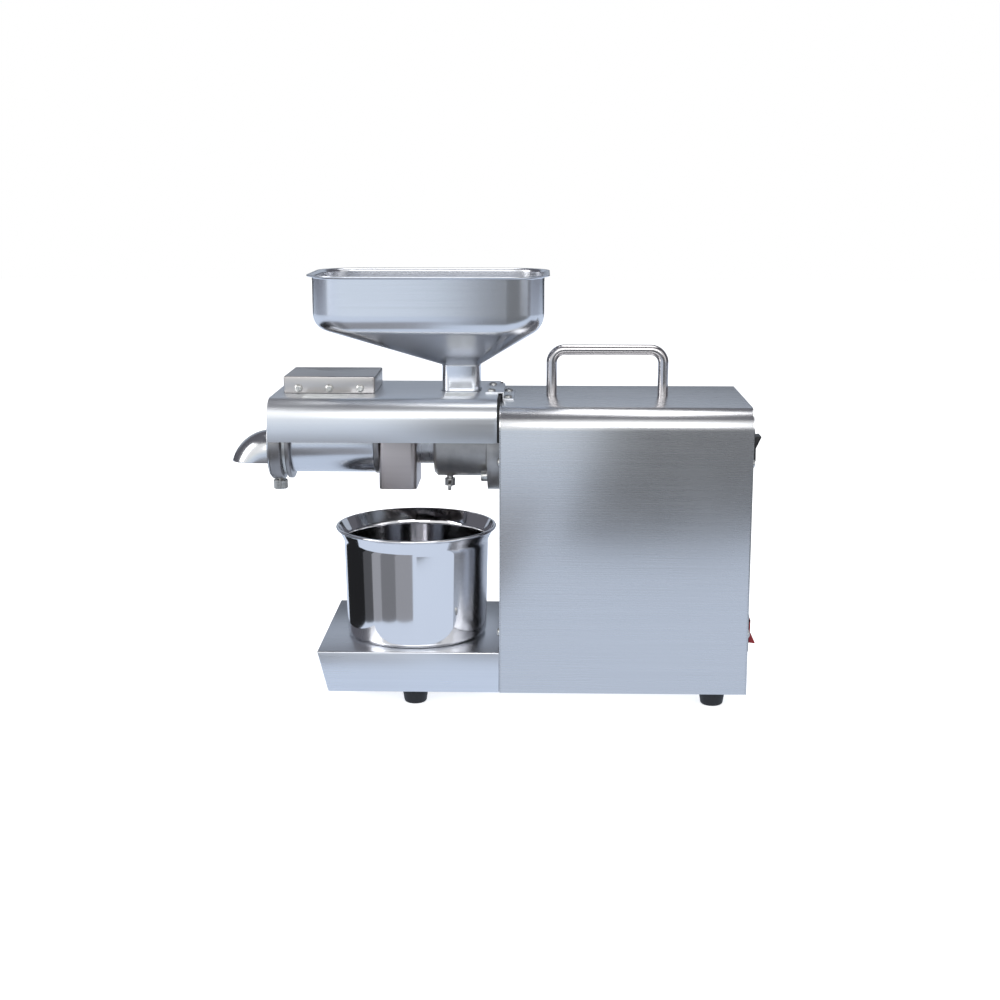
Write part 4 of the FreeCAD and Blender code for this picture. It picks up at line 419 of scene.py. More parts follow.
def moulded(name, colour, rough, grain=900.0, depth=0.15):
    """Plastic or rubber with a fine moulded grain."""
    finish = Finish(name)
    pores = finish.noise((1.0, 1.0, 1.0), grain, detail=2.0)
    cloud = finish.noise((1.0, 1.0, 1.0), 90.0, detail=3.0)
    share = finish.range(cloud, 0.0, 1.0)
    finish.colour(finish.blend(share, shaded(colour, 0.85), shaded(colour, 1.15)))
    finish.roughness(finish.range(pores, rough * 0.85, min(rough * 1.15, 1.0)))
    finish.bump(pores, depth, 0.0001)
    return finish.material


def wound_copper(name):
    finish = Finish(name)
    finish.set(metallic=0.9)
    turns = finish.noise((900.0, 60.0, 60.0), detail=2.0)
    share = finish.range(turns, 0.0, 1.0)
    finish.colour(finish.blend(share, (0.30, 0.11, 0.05), (0.72, 0.32, 0.16)))
    finish.roughness(finish.range(turns, 0.3, 0.5))
    finish.bump(turns, 0.4, 0.0003)
    return finish.material


materials = {
    "brushed_steel_sheet": brushed_steel("brushed_steel_sheet", (0.78, 0.80, 0.83), 0.34, "x"),
    "cabinet_sheet": brushed_steel("cabinet_sheet", (0.66, 0.665, 0.68), 0.27, "x"),
    "polished_steel": polished_steel("polished_steel", (0.80, 0.80, 0.82), 0.07),
    "satin_steel": brushed_steel("satin_steel", (0.70, 0.715, 0.75), 0.24, "x", 0.03),
    "turned_steel": turned_steel("turned_steel", (0.58, 0.58, 0.59), 0.30),
    "zinc_steel": turned_steel("zinc_steel", (0.62, 0.62, 0.60), 0.33, "z"),
    "cast_steel": cast_metal("cast_steel", (0.52, 0.51, 0.50), 0.42),
    "bare_casting": cast_metal("bare_casting", (0.50, 0.51, 0.52), 0.5),
    "black_rubber": moulded("black_rubber", (0.012, 0.012, 0.013), 0.55),
    "gasket_rubber": moulded("gasket_rubber", (0.02, 0.02, 0.022), 0.7),
    "black_plastic": moulded("black_plastic", (0.014, 0.014, 0.015), 0.38),
    "red_plastic": moulded("red_plastic", (0.30, 0.008, 0.012), 0.32),
    "heater_mica": moulded("heater_mica", (0.42, 0.33, 0.22), 0.6),
    "copper_windings": wound_copper("copper_windings"),
    "capacitor_can": brushed_steel("capacitor_can", (0.75, 0.75, 0.76), 0.3, "x"),
    "brass": turned_steel("brass", (0.72, 0.52, 0.24), 0.3),
}
# Darker, pinkish steel for the oil outlet box: painted shade, standing in for the cover's shadow over the
# box.
filmed_steel = brushed_steel("filmed_steel", (0.60, 0.55, 0.54), 0.36, "x")
dark_steel = turned_steel("dark_steel", (0.34, 0.33, 0.33), 0.34)
label_paper = moulded("label_paper", (0.86, 0.87, 0.86), 0.45, 1500.0, 0.03)


def dress(piece, material, body, slot, *nodes):
    """Give a finished piece its material, its body, its slot and the nodes it stands for."""
    piece.data.materials.clear()
    piece.data.materials.append(materials[material] if isinstance(material, str) else material)
    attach(piece, body)
    if nodes:
        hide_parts(*nodes)
    return piece


# the CAD nodes take the finish of their own slot
for entry in frame["record"]["subparts"]:
    node_mesh = frame["nodes"][entry["node"]].data
    node_mesh.materials.clear()
    node_mesh.materials.append(materials[entry["material_slot"]])


# --- the cabinet -----------------------------------------------------------------------


def arch_band(half, bottom, top, bend, thickness, flare=0.0, steps=12):
    """The closed outline of a sheet bent over twice, as a cover's cross-section."""
    outer = [
        (-half - flare, bottom, 0),
        (-half, top, bend),
        (half, top, bend),
        (half + flare, bottom, 0),
    ]
    inner = [
        (half + flare - thickness, bottom, 0),
        (half - thickness, top - thickness, bend - thickness),
        (-half + thickness, top - thickness, bend - thickness),
        (-half - flare + thickness, bottom, 0),
    ]
    outer = outline(outer, closed=False, steps=steps)
    inner = outline(inner, closed=False, steps=steps)
    return outer + inner


def make_wrap_cover():
    low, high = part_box("wrap_cover")
    shape = arch_band(high.y, low.z, high.z, CABINET_BEND, SHEET)
    piece = prism("wrap_cover_sheet", shape, low.x, high.x, "x")
    soften(piece, 0.0003)
    dress(shade(piece), "cabinet_sheet", "press", "cabinet_sheet", "wrap_cover")


def make_feet():
    """Black rubber feet, rounded below, with a recess for a screw."""
    for end in ("tray_front", "tray_rear", "cabinet_front", "cabinet_rear"):
        low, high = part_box("foot_" + end)
        centre = (low + high) / 2
        radius = (high.x - low.x) / 2
        height = high.z - low.z
        profile = outline(
            [
                (0.0022, height, 0),
                (0.0022, 0.005, 0),
                (0.0055, 0.005, 0.0005),
                (0.0055, 0, 0.0006),
                (radius - 0.0022, 0, 0.0025),
                (radius - 0.0002, height - 0.0025, 0.0006),
                (radius, height - 0.002, 0.0006),
                (radius, height, 0.0004),
            ]
        )
        piece = lathe("foot_" + end + "_rubber", profile, (centre.x, centre.y, 0), "z", 64)
        dress(shade(piece), "black_rubber", "press", "black_rubber", "foot_" + end)


def node_group(name, inputs):
    """A Geometry Nodes tree with named inputs. Each input is (name, socket kind, value)."""
    tree = bpy.data.node_groups.new(name, "GeometryNodeTree")
    tree.interface.new_socket("Geometry", in_out="OUTPUT", socket_type="NodeSocketGeometry")
    tree.interface.new_socket("Geometry", in_out="INPUT", socket_type="NodeSocketGeometry")
    for label, kind, value in inputs:
        socket = tree.interface.new_socket(label, in_out="INPUT", socket_type=kind)
        if value is not None:
            socket.default_value = value
    return tree, tree.nodes.new("NodeGroupInput"), tree.nodes.new("NodeGroupOutput")


def run_tree(piece, tree, **values):
    """Run a tree on a piece with its inputs set, and keep the result as plain mesh."""
    modifier = piece.modifiers.new(tree.name, "NODES")
    modifier.node_group = tree
    for item in tree.interface.items_tree:
        key = item.name.lower().replace(" ", "_")
        if item.item_type == "SOCKET" and item.in_out == "INPUT" and key in values:
            modifier[item.identifier] = values[key]
    return settle(piece)


def bent_bar_tree():
    """A round bar along a path whose corners are bent to one radius."""
    inputs = [
        ("Bar Radius", "NodeSocketFloat", 0.005),
        ("Bend Radius", "NodeSocketFloat", 0.012),
        ("Bend Steps", "NodeSocketInt", 12),
        ("Finish", "NodeSocketMaterial", None),
    ]
    tree, start, end = node_group("bent_bar", inputs)
    link = tree.links.new
    path = tree.nodes.new("GeometryNodeMeshToCurve")
    bend = tree.nodes.new("GeometryNodeFilletCurve")
    bend.mode = "POLY"
    circle = tree.nodes.new("GeometryNodeCurvePrimitiveCircle")
    circle.inputs["Resolution"].default_value = 40
    bar = tree.nodes.new("GeometryNodeCurveToMesh")
    bar.inputs["Fill Caps"].default_value = True
    real = tree.nodes.new("GeometryNodeRealizeInstances")
    finish = tree.nodes.new("GeometryNodeSetMaterial")
    link(start.outputs["Geometry"], path.inputs["Mesh"])
    link(path.outputs["Curve"], bend.inputs["Curve"])
    link(start.outputs["Bend Radius"], bend.inputs["Radius"])
    link(start.outputs["Bend Steps"], bend.inputs["Count"])
    link(start.outputs["Bar Radius"], circle.inputs["Radius"])
    link(bend.outputs["Curve"], bar.inputs["Curve"])
    link(circle.outputs["Curve"], bar.inputs["Profile Curve"])
    link(bar.outputs["Mesh"], real.inputs["Geometry"])
    link(real.outputs["Geometry"], finish.inputs["Geometry"])
    link(start.outputs["Finish"], finish.inputs["Material"])
    link(finish.outputs["Geometry"], end.inputs["Geometry"])
    return tree


def make_handle():
    low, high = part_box("carry_handle")
    radius = HANDLE_ROD / 2
    left, right = low.x + radius, high.x - radius
    bar_z = high.z - radius
    points = [(left, 0, low.z), (left, 0, bar_z), (right, 0, bar_z), (right, 0, low.z)]
    mesh = bpy.data.meshes.new("carry_handle_bar")
    mesh.from_pydata(points, [(0, 1), (1, 2), (2, 3)], [])
    piece = add_object("carry_handle_bar", mesh)
    run_tree(
        piece,
        bent_bar_tree(),
        bar_radius=radius,
        bend_radius=HANDLE_BEND,
        finish=materials["polished_steel"],
    )
    dress(shade(piece), handle_steel, "press", "polished_steel", "carry_handle")


handle_steel = polished_steel("handle_steel", (0.60, 0.58, 0.585), 0.2)


# --- the barrel's cover, its terminal box and its labels -------------------------------


def make_barrel_cover():
    low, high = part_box("barrel_cover")
    shape = arch_band(high.y, low.z, high.z, COVER_BEND, SHEET, COVER_FLARE, steps=14)
    piece = prism("barrel_cover_sheet", shape, low.x, high.x, "x")
    soften(piece, 0.0003)
    throat = throat_centre()
    half = THROAT_WIDTH / 2 + 0.001
    window = rounded_rectangle(throat - half, -half, throat + half, half, THROAT_CORNER)
    cut_away(piece, prism("window", window, high.z - 0.01, high.z + 0.01, "z"))
    dress(shade(piece), "brushed_steel_sheet", "press", "brushed_steel_sheet", "barrel_cover")


def make_terminal_box():
    low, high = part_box("terminal_box")
    shape = rounded_rectangle(low.x, low.y, high.x, high.y, 0.0022)
    piece = prism("terminal_box_lid", shape, low.z, high.z, "z")
    soften(piece, 0.0011, 3, angle=60)
    dress(shade(piece), terminal_steel, "press", "brushed_steel_sheet", "terminal_box")


terminal_steel = brushed_steel("terminal_steel", (0.52, 0.50, 0.49), 0.30, "x")


def make_labels():
    """Two bare paper labels on the barrel's cover. The larger one bends over its edge."""
    low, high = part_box("barrel_cover")
    top = high.z
    front = low.y
    path = outline(
        [(LABEL_TOP_EDGE, top, 0), (front, top, COVER_BEND), (front, top - 0.03, 0)],
        closed=False,
        steps=24,
    )
    strip = [path[0]]
    length = 0.0
    for before, after in zip(path, path[1:]):
        length += math.dist(before, after)
        if length > LABEL_LENGTH:
            break
        strip.append(after)
    left, right = LABEL_ENDS
    rings = [[Vector((x, y, z)) for x in (left, right)] for y, z in strip]
    large = skin("label_by_terminals", rings, closed=False)
    thicken(large, LABEL_THICKNESS, inwards=True)
    centre = Vector(((left + right) / 2, 0, top - 0.02))
    raise_label(large, centre)
    dress(shade(large), label_paper, "press", "brushed_steel_sheet")
    shape = rounded_rectangle(-0.041, -0.050, -0.014, -0.027, 0.0015)
    small = prism("label_by_hopper", shape, top + 0.00005, top + 0.00005 + LABEL_THICKNESS, "z")
    dress(shade(small), label_paper, "press", "brushed_steel_sheet")


def raise_label(piece, centre):
    """Lift a label that lies in the cover's surface a little way off it."""
    for vertex in piece.data.vertices:
        away = Vector((0, vertex.co.y - centre.y, vertex.co.z - centre.z))
        vertex.co += away.normalized() * LABEL_THICKNESS * 1.5


# --- the barrel ------------------------------------------------------------------------


def turned_ring(node, name, bore, edge, material, slot):
    """A ring on the barrel's axis, with rounded rims."""
    low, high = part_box(node)
    radius = (high.z - low.z) / 2
    centre = (0, (low.y + high.y) / 2, (low.z + high.z) / 2)
    profile = outline(
        [(bore, low.x, 0), (bore, high.x, 0), (radius, high.x, edge), (radius, low.x, edge)]
    )
    piece = lathe(name, profile, centre, "x", 112)
    return dress(shade(piece), material, body_of(node), slot, node)


def make_barrel():
    low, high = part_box("chamber_tube")
    tube = (high.z - low.z) / 2
    rings = (
        ("heater_jacket", "heater_jacket_shell", tube + 0.006, 0.0008, "satin_steel", "satin_steel"),
        ("jacket_stop_ring", "jacket_stop", tube, 0.0008, dark_steel, "turned_steel"),
        ("jacket_end_ring", "jacket_end", tube, 0.0010, dark_steel, "turned_steel"),
        ("spacer_ring", "spacer", tube, 0.0006, "zinc_steel", "turned_steel"),
        ("spout_collar", "spout_collar_ring", tube, 0.0012, dark_steel, "turned_steel"),
    )
    for node, name, bore, edge, material, slot in rings:
        turned_ring(node, name, bore, edge, material, slot)
    for node, material, width in (
        ("chamber_tube", "turned_steel", 0.0),
        ("feed_neck", "cast_steel", 0.0005),
        # the outlet box takes the darker, pinkish steel, which is painted shade from the cover above
        ("oil_outlet_box", filmed_steel, 0.0003),
        ("joint_bracket", "brushed_steel_sheet", 0.0003),
    ):
        piece = copy_of(node, node + "_body", width)
        slot = slot_of(node)
        dress(piece, material, body_of(node), slot, node)


def body_of(node):
    for body, members in frame["record"]["behaviour"]["bodies"].items():
        if node in members:
            return body
    raise KeyError(node)


def slot_of(node):
    for entry in frame["record"]["subparts"]:
        if entry["node"] == node:
            return entry["material_slot"]
    raise KeyError(node)


def make_spout():
    """A hood whose arched section swings down about a line below the barrel, with a level mouth."""
    collar_low, collar_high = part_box("spout_collar")
    barrel_z = (collar_low.z + collar_high.z) / 2
    flange_face = collar_low.x - SPOUT_SHEET
    half, bend = SPOUT_HALF_WIDTH, SPOUT_BEND
    axis_z = barrel_z - SPOUT_DROP
    inner = 0.004
    arch = outline(
        [(-half, inner, 0), (-half, bend, SPOUT_CORNER), (half, bend, SPOUT_CORNER), (half, inner, 0)],
        closed=False,
        steps=16,
    )
    steps = 40
    rings = []
    for step in range(steps + 1):
        turn = math.radians(80) * step / steps
        across, up = math.sin(turn), math.cos(turn)
        rings.append([Vector((flange_face - r * across, y, axis_z + r * up)) for y, r in arch])
    hood = skin("hood", rings, closed=False)
    keep_above(hood, barrel_z - SPOUT_MOUTH_DROP)
    face_outwards(hood, Vector((flange_face - bend / 2, 0, axis_z + bend / 3)))
    thicken(hood, SPOUT_SHEET)
    soften(hood, 0.0004)
    radius = (collar_high.z - collar_low.z) / 2 - 0.002
    profile = outline(
        [
            (SPOUT_BORE, flange_face, 0),
            (SPOUT_BORE, collar_low.x, 0),
            (radius, collar_low.x, 0),
            (radius, flange_face, 0.0006),
        ]
    )
    flange = lathe("flange", profile, (0, 0, barrel_z), "x")
    piece = join("spout_hood", [hood, flange])
    dress(shade(piece), spout_steel, body_of("spout"), slot_of("spout"), "spout")


spout_steel = brushed_steel("spout_steel", (0.70, 0.71, 0.73), 0.20, "x", 0.02)


def keep_above(piece, height):
    """Cut a sheet off level at a height."""
    work = bmesh.new()
    work.from_mesh(piece.data)
    everything = work.verts[:] + work.edges[:] + work.faces[:]
    bmesh.ops.bisect_plane(
        work, geom=everything, plane_co=(0, 0, height), plane_no=(0, 0, 1), clear_inner=True
    )
    work.to_mesh(piece.data)
    work.free()


def face_outwards(piece, middle):
    """Turn the faces of an open sheet away from a point inside it."""
    mesh = piece.data
    total = sum((face.center - middle).dot(face.normal) * face.area for face in mesh.polygons)
    if total < 0:
        mesh.flip_normals()


def make_spout_screw():
    """The thumb screw under the collar, with a knurled head."""
    low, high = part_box("spout_screw")
    centre = (low + high) / 2
    radius = (high.x - low.x) / 2
    head = 0.009
    ridges = 28
    points = []
    rows = [
        (radius - 0.001, 0, False),
        (radius - 0.0002, 0.0009, True),
        (radius - 0.0002, head - 0.0009, True),
        (radius - 0.001, head, False),
        (0.0025, head, False),
        (0.0025, high.z - low.z, False),
    ]
    segments = ridges * 4
    wave = (0.0, 0.5, 1.0, 0.5)
    for reach, height, ridged in rows:
        for step in range(segments):
            turn = 2 * math.pi * step / segments
            r = reach - (0.0005 * wave[step % 4] if ridged else 0)
            across = Vector((math.cos(turn), math.sin(turn), 0)) * r
            points.append(Vector((centre.x, centre.y, low.z + height)) + across)
    faces = [tuple(range(segments)), tuple(range(len(points) - segments, len(points)))]
    for row in range(len(rows) - 1):
        for k in range(segments):
            after = (k + 1) % segments
            here, there = row * segments, (row + 1) * segments
            faces.append((here + k, here + after, there + after, there + k))
    piece = build("spout_thumb_screw", points, faces)
    dress(shade(piece, 25), "zinc_steel", body_of("spout_screw"), slot_of("spout_screw"), "spout_screw")


def make_wing_bolt():
    piece = copy_of("wing_bolt", "wing_bolt_body", 0.0006, 3)
    dress(piece, "cast_steel", body_of("wing_bolt"), slot_of("wing_bolt"), "wing_bolt")


# --- the hopper, the tray and the cup --------------------------------------------------


def throat_centre():
    low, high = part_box("hopper")
    neck = [v.co.x for v in frame["nodes"]["hopper"].data.vertices if v.co.z < low.z + 0.001]
    return (min(neck) + max(neck)) / 2


def hopper_ring(inset, low, high):
    """The hopper's plan, inset from its rim, with as many points on every ring."""
    radius = HOPPER_CORNER - inset
    return rounded_rectangle(low.x + inset, low.y + inset, high.x - inset, high.y - inset, radius, 12)


def softened_path(points, reaches, steps):
    """A path whose inner corners become short curves that reach so far along each leg."""
    path = [points[0]]
    for before, corner, after, reach in zip(points, points[1:], points[2:], reaches):
        start = corner + (before - corner).normalized() * reach
        end = corner + (after - corner).normalized() * reach
        for step in range(steps + 1):
            t = step / steps
            path.append(start * (1 - t) ** 2 + corner * 2 * t * (1 - t) + end * t**2)
    path.append(points[-1])
    return path


def make_hopper():
    """A pressed bowl with a flared lip, a bent foot and a funnel to a square neck."""
    low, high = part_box("hopper")
    bend_z = high.z - HOPPER_WALL
    throat_z = high.z - THROAT_DROP
    half = THROAT_WIDTH / 2
    throat_x = throat_centre()
    wall = hopper_ring(HOPPER_LIP, low, high)
    neck = rounded_rectangle(throat_x - half, -half, throat_x + half, half, THROAT_CORNER, 12)
    flange_z = high.z - HOPPER_SHEET
    columns = []
    plans = zip(hopper_ring(0, low, high), wall, neck)
    for (rim_x, rim_y), (wall_x, wall_y), (neck_x, neck_y) in plans:
        points = [
            Vector((rim_x, rim_y, flange_z)),
            Vector((wall_x, wall_y, flange_z)),
            Vector((wall_x, wall_y, bend_z)),
            Vector((neck_x, neck_y, throat_z)),
            Vector((neck_x, neck_y, low.z)),
        ]
        columns.append(softened_path(points, (HOPPER_FILLET, HOPPER_BEND, 0.0015), 8))
    bowl = skin("hopper_bowl", [list(ring) for ring in zip(*columns)])
    face_outwards(bowl, Vector((throat_x, 0, high.z - 0.02)))
    thicken(bowl, HOPPER_SHEET)
    soften(bowl, 0.0003)
    hem_rings = []
    for step in range(12):
        turn = 2 * math.pi * step / 12
        inset = HOPPER_HEM * (1 + math.cos(turn))
        z = high.z - HOPPER_HEM * (1 - math.sin(turn))
        hem_rings.append([Vector((x, y, z)) for x, y in hopper_ring(inset, low, high)])
    hem_rings.append(hem_rings[0])
    piece = join("hopper_shell", [bowl, skin("hem", hem_rings)])
    dress(shade(piece), hopper_steel, "hopper", "satin_steel", "hopper")


hopper_steel = brushed_steel("hopper_steel", (0.74, 0.755, 0.79), 0.20, "x", 0.02)


def make_tray():
    """A folded tray with a slanted end, welded corners and inward flanges below."""
    low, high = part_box("cup_tray")
    slant = 0.010
    flange = 0.034
    top = [(low.x, low.y), (high.x, low.y), (high.x, high.y), (low.x, high.y)]
    foot = [(low.x + slant, low.y), (high.x, low.y), (high.x, high.y), (low.x + slant, high.y)]
    inner = [
        (low.x + slant + flange / 2, low.y + flange),
        (high.x - flange / 2, low.y + flange),
        (high.x - flange / 2, high.y - flange),
        (low.x + slant + flange / 2, high.y - flange),
    ]
    points = [Vector((x, y, high.z)) for x, y in top]
    points += [Vector((x, y, low.z)) for x, y in foot]
    points += [Vector((x, y, low.z)) for x, y in inner]
    faces = [(0, 1, 2, 3)]
    for k in range(4):
        after = (k + 1) % 4
        faces.append((k, after, 4 + after, 4 + k))
        faces.append((4 + k, 4 + after, 8 + after, 8 + k))
    piece = build("cup_tray_sheet", points, faces)
    face_outwards(piece, (low + high) / 2)
    soften(piece, 0.0014, 3, angle=20)
    thicken(piece, SHEET)
    dress(shade(piece), tray_steel, "press", slot_of("cup_tray"), "cup_tray")


tray_steel = brushed_steel("tray_steel", (0.76, 0.78, 0.82), 0.30, "x")


def make_oil_cup():
    """A spun pot with a flared rim and a rolled bead."""
    low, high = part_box("oil_cup")
    centre = (low + high) / 2
    rim = (high.x - low.x) / 2
    height = high.z - low.z
    base = 0.06725
    side = 0.06925
    wall = 0.0012
    shoulder = height - 0.014
    bead = 0.0016
    outer = [
        (0, 0, 0),
        (base, 0, 0.005),
        (side, shoulder, 0.012),
        (rim - bead, height - bead, 0),
    ]
    inner = [
        (rim - bead * 1.2, height - bead * 0.4, 0),
        (side - wall + 0.0004, shoulder + wall, 0.011),
        (base - wall, wall, 0.004),
        (0, wall, 0),
    ]
    profile = outline(outer, closed=False, steps=10)
    bead_centre = (rim - bead, height - bead)
    for step in range(13):
        turn = math.radians(-100 + 220 * step / 12)
        profile.append((bead_centre[0] + bead * math.cos(turn), bead_centre[1] + bead * math.sin(turn)))
    profile += outline(inner, closed=False, steps=10)
    piece = lathe("oil_cup_body", profile, (centre.x, centre.y, low.z), "z", 160, closed=False)
    dress(shade(piece, 40), "polished_steel", "cup", "polished_steel", "oil_cup")


# --- screws ----------------------------------------------------------------------------


def screw_mesh(name, radius, height, shank, length, recess, domed=True):
    """One screw along -Z, its head above the origin, with a cross or a hexagon socket."""
    crown = height * 0.55 if domed else height
    rows = [
        (0, -length, 0),
        (shank, -length, 0),
        (shank, 0, 0),
        (radius, 0, 0),
        (radius, crown, radius * 0.12),
    ]
    if domed:
        rows += [(radius * 0.55, height, radius * 0.25)]
    else:
        rows[-1] = (radius, height, radius * 0.12)
    rows += [(0, height, 0)]
    piece = lathe(name, outline(rows, closed=False, steps=3), (0, 0, 0), "z", 28, closed=False)
    deep = height * 0.5
    if recess == "cross":
        for long, wide in ((radius * 0.52, radius * 0.12), (radius * 0.12, radius * 0.52)):
            slot = [(-long, -wide), (long, -wide), (long, wide), (-long, wide)]
            cut_away(piece, prism("recess", slot, height - deep, height + 0.01, "z"))
    else:
        corners = [(math.cos(math.radians(60 * k)), math.sin(math.radians(60 * k))) for k in range(6)]
        hexagon = [(x * radius * 0.5, y * radius * 0.5) for x, y in corners]
        cut_away(piece, prism("recess", hexagon, height - deep, height + 0.01, "z"))
    return shade(piece, 30)


def screw_tree():
    """Copies of one screw on a set of points, each turned to its point's way out."""
    inputs = [
        ("Screw", "NodeSocketObject", None),
        ("Seed", "NodeSocketInt", 3),
        ("Finish", "NodeSocketMaterial", None),
    ]
    tree, start, end = node_group("screw_set", inputs)
    add, link = tree.nodes.new, tree.links.new
    points = add("GeometryNodeMeshToPoints")
    source = add("GeometryNodeObjectInfo")
    way = add("GeometryNodeInputNamedAttribute")
    way.data_type = "FLOAT_VECTOR"
    way.inputs["Name"].default_value = "way_out"
    align = add("FunctionNodeAlignRotationToVector")
    spin = add("FunctionNodeAxisAngleToRotation")
    spin.inputs["Axis"].default_value = (0, 0, 1)
    chance = add("FunctionNodeRandomValue")
    chance.inputs["Max"].default_value = math.pi
    turn = add("FunctionNodeRotateRotation")
    turn.rotation_space = "LOCAL"
    place = add("GeometryNodeInstanceOnPoints")
    real = add("GeometryNodeRealizeInstances")
    finish = add("GeometryNodeSetMaterial")
    link(start.outputs["Geometry"], points.inputs["Mesh"])
    link(start.outputs["Screw"], source.inputs["Object"])
    link(start.outputs["Seed"], chance.inputs["Seed"])
    link(way.outputs["Attribute"], align.inputs["Vector"])
    link(chance.outputs[1], spin.inputs["Angle"])
    link(align.outputs["Rotation"], turn.inputs["Rotation"])
    link(spin.outputs["Rotation"], turn.inputs["Rotate By"])
    link(points.outputs["Points"], place.inputs["Points"])
    link(source.outputs["Geometry"], place.inputs["Instance"])
    link(turn.outputs["Rotation"], place.inputs["Rotation"])
    link(place.outputs["Instances"], real.inputs["Geometry"])
    link(real.outputs["Geometry"], finish.inputs["Geometry"])
    link(start.outputs["Finish"], finish.inputs["Material"])
    link(finish.outputs["Geometry"], end.inputs["Geometry"])
    return tree


def loose_parts(node):
    """The separate solids of a CAD node, each as (lowest corner, highest corner)."""
    work = bmesh.new()
    work.from_mesh(frame["nodes"][node].data)
    bmesh.ops.remove_doubles(work, verts=work.verts, dist=2e-6)
    left = set(work.verts)
    boxes = []
    while left:
        reached = [left.pop()]
        part = []
        while reached:
            vertex = reached.pop()
            part.append(vertex.co.copy())
            for edge in vertex.link_edges:
                other = edge.other_vert(vertex)
                if other in left:
                    left.remove(other)
                    reached.append(other)
        lows = Vector([min(co[k] for co in part) for k in range(3)])
        highs = Vector([max(co[k] for co in part) for k in range(3)])
        boxes.append((lows, highs, part))
    work.free()
    return boxes


def screw_places(node):
    """Where each screw of a node has its head's seat, which way its head faces, and its sizes."""
    places = []
    for low, high, part in loose_parts(node):
        size = high - low
        axis = max(range(3), key=lambda k: abs(size[k] - (size[(k + 1) % 3] + size[(k + 2) % 3]) / 2))
        across = [k for k in range(3) if k != axis]
        centre = (low + high) / 2
        radius = size[across[0]] / 2

        def width_at(end):
            near = [co for co in part if abs(co[axis] - end) < 1e-5]
            return max(abs(co[across[0]] - centre[across[0]]) for co in near)

        way = Vector((0, 0, 0))
        way[axis] = 1 if width_at(high[axis]) > width_at(low[axis]) else -1
        shank = width_at(low[axis] if way[axis] > 0 else high[axis])
        steps = sorted({round(co[axis], 6) for co in part})
        inner = [s for s in steps if s not in (steps[0], steps[-1])]
        seat_step = inner[-1] if way[axis] > 0 else inner[0]
        seat = centre.copy()
        seat[axis] = seat_step
        height = abs((high[axis] if way[axis] > 0 else low[axis]) - seat_step)
        places.append((seat, way, radius, height, shank, size[axis] - height))
    return places


def make_screws(node, name, recess, material, tree):
    """Stand-in screws become screws with drives, on the same seats."""
    groups = {}
    for seat, way, radius, height, shank, length in screw_places(node):
        key = tuple(round(v, 5) for v in (radius, height, shank, length))
        groups.setdefault(key, []).append((seat, way))
    pieces = []
    for number, (key, seats) in enumerate(sorted(groups.items())):
        radius, height, shank, length = key
        screw = screw_mesh(f"screw_{number}", radius, height, shank, length, recess, recess == "cross")
        mesh = bpy.data.meshes.new(f"{name}_{number}")
        mesh.from_pydata([tuple(seat) for seat, way in seats], [], [])
        ways = mesh.attributes.new("way_out", "FLOAT_VECTOR", "POINT")
        ways.data.foreach_set("vector", [c for seat, way in seats for c in way])
        piece = add_object(f"{name}_{number}", mesh)
        run_tree(piece, tree, screw=screw, finish=materials[material])
        bpy.data.objects.remove(screw)
        pieces.append(piece)
    piece = join(name, pieces)
    return dress(shade(piece, 30), material, body_of(node), slot_of(node), node)


# --- the rear panel's fittings ---------------------------------------------------------


def make_panel_fittings():
    for node, width in (
        ("direction_switch", 0.0006),
        ("power_switch", 0.0006),
        ("direction_rocker", 0.0004),
        ("power_rocker", 0.0004),
        ("power_inlet", 0.0004),
        ("inlet_pins", 0.0003),
    ):
        piece = copy_of(node, node + "_body", width, 3)
        dress(piece, slot_of(node), body_of(node), slot_of(node), node)


# --- the studio ------------------------------------------------------------------------


def stage_card(name, corners, colour, strength=1.0):
    """A card outside the view that shows only in reflections."""
    card = build(name, [Vector(corner) for corner in corners], [(0, 1, 2, 3)])
    paint = bpy.data.materials.new(name)
    paint.use_nodes = True
    paint.node_tree.nodes.clear()
    glow = paint.node_tree.nodes.new("ShaderNodeEmission")
    glow.inputs["Color"].default_value = (*colour, 1)
    glow.inputs["Strength"].default_value = strength
    out = paint.node_tree.nodes.new("ShaderNodeOutputMaterial")
    paint.node_tree.links.new(glow.outputs[0], out.inputs["Surface"])
    card.data.materials.append(paint)
    card.visible_camera = False
    card.visible_diffuse = False
    card.visible_shadow = False
    card.visible_volume_scatter = False
    return card


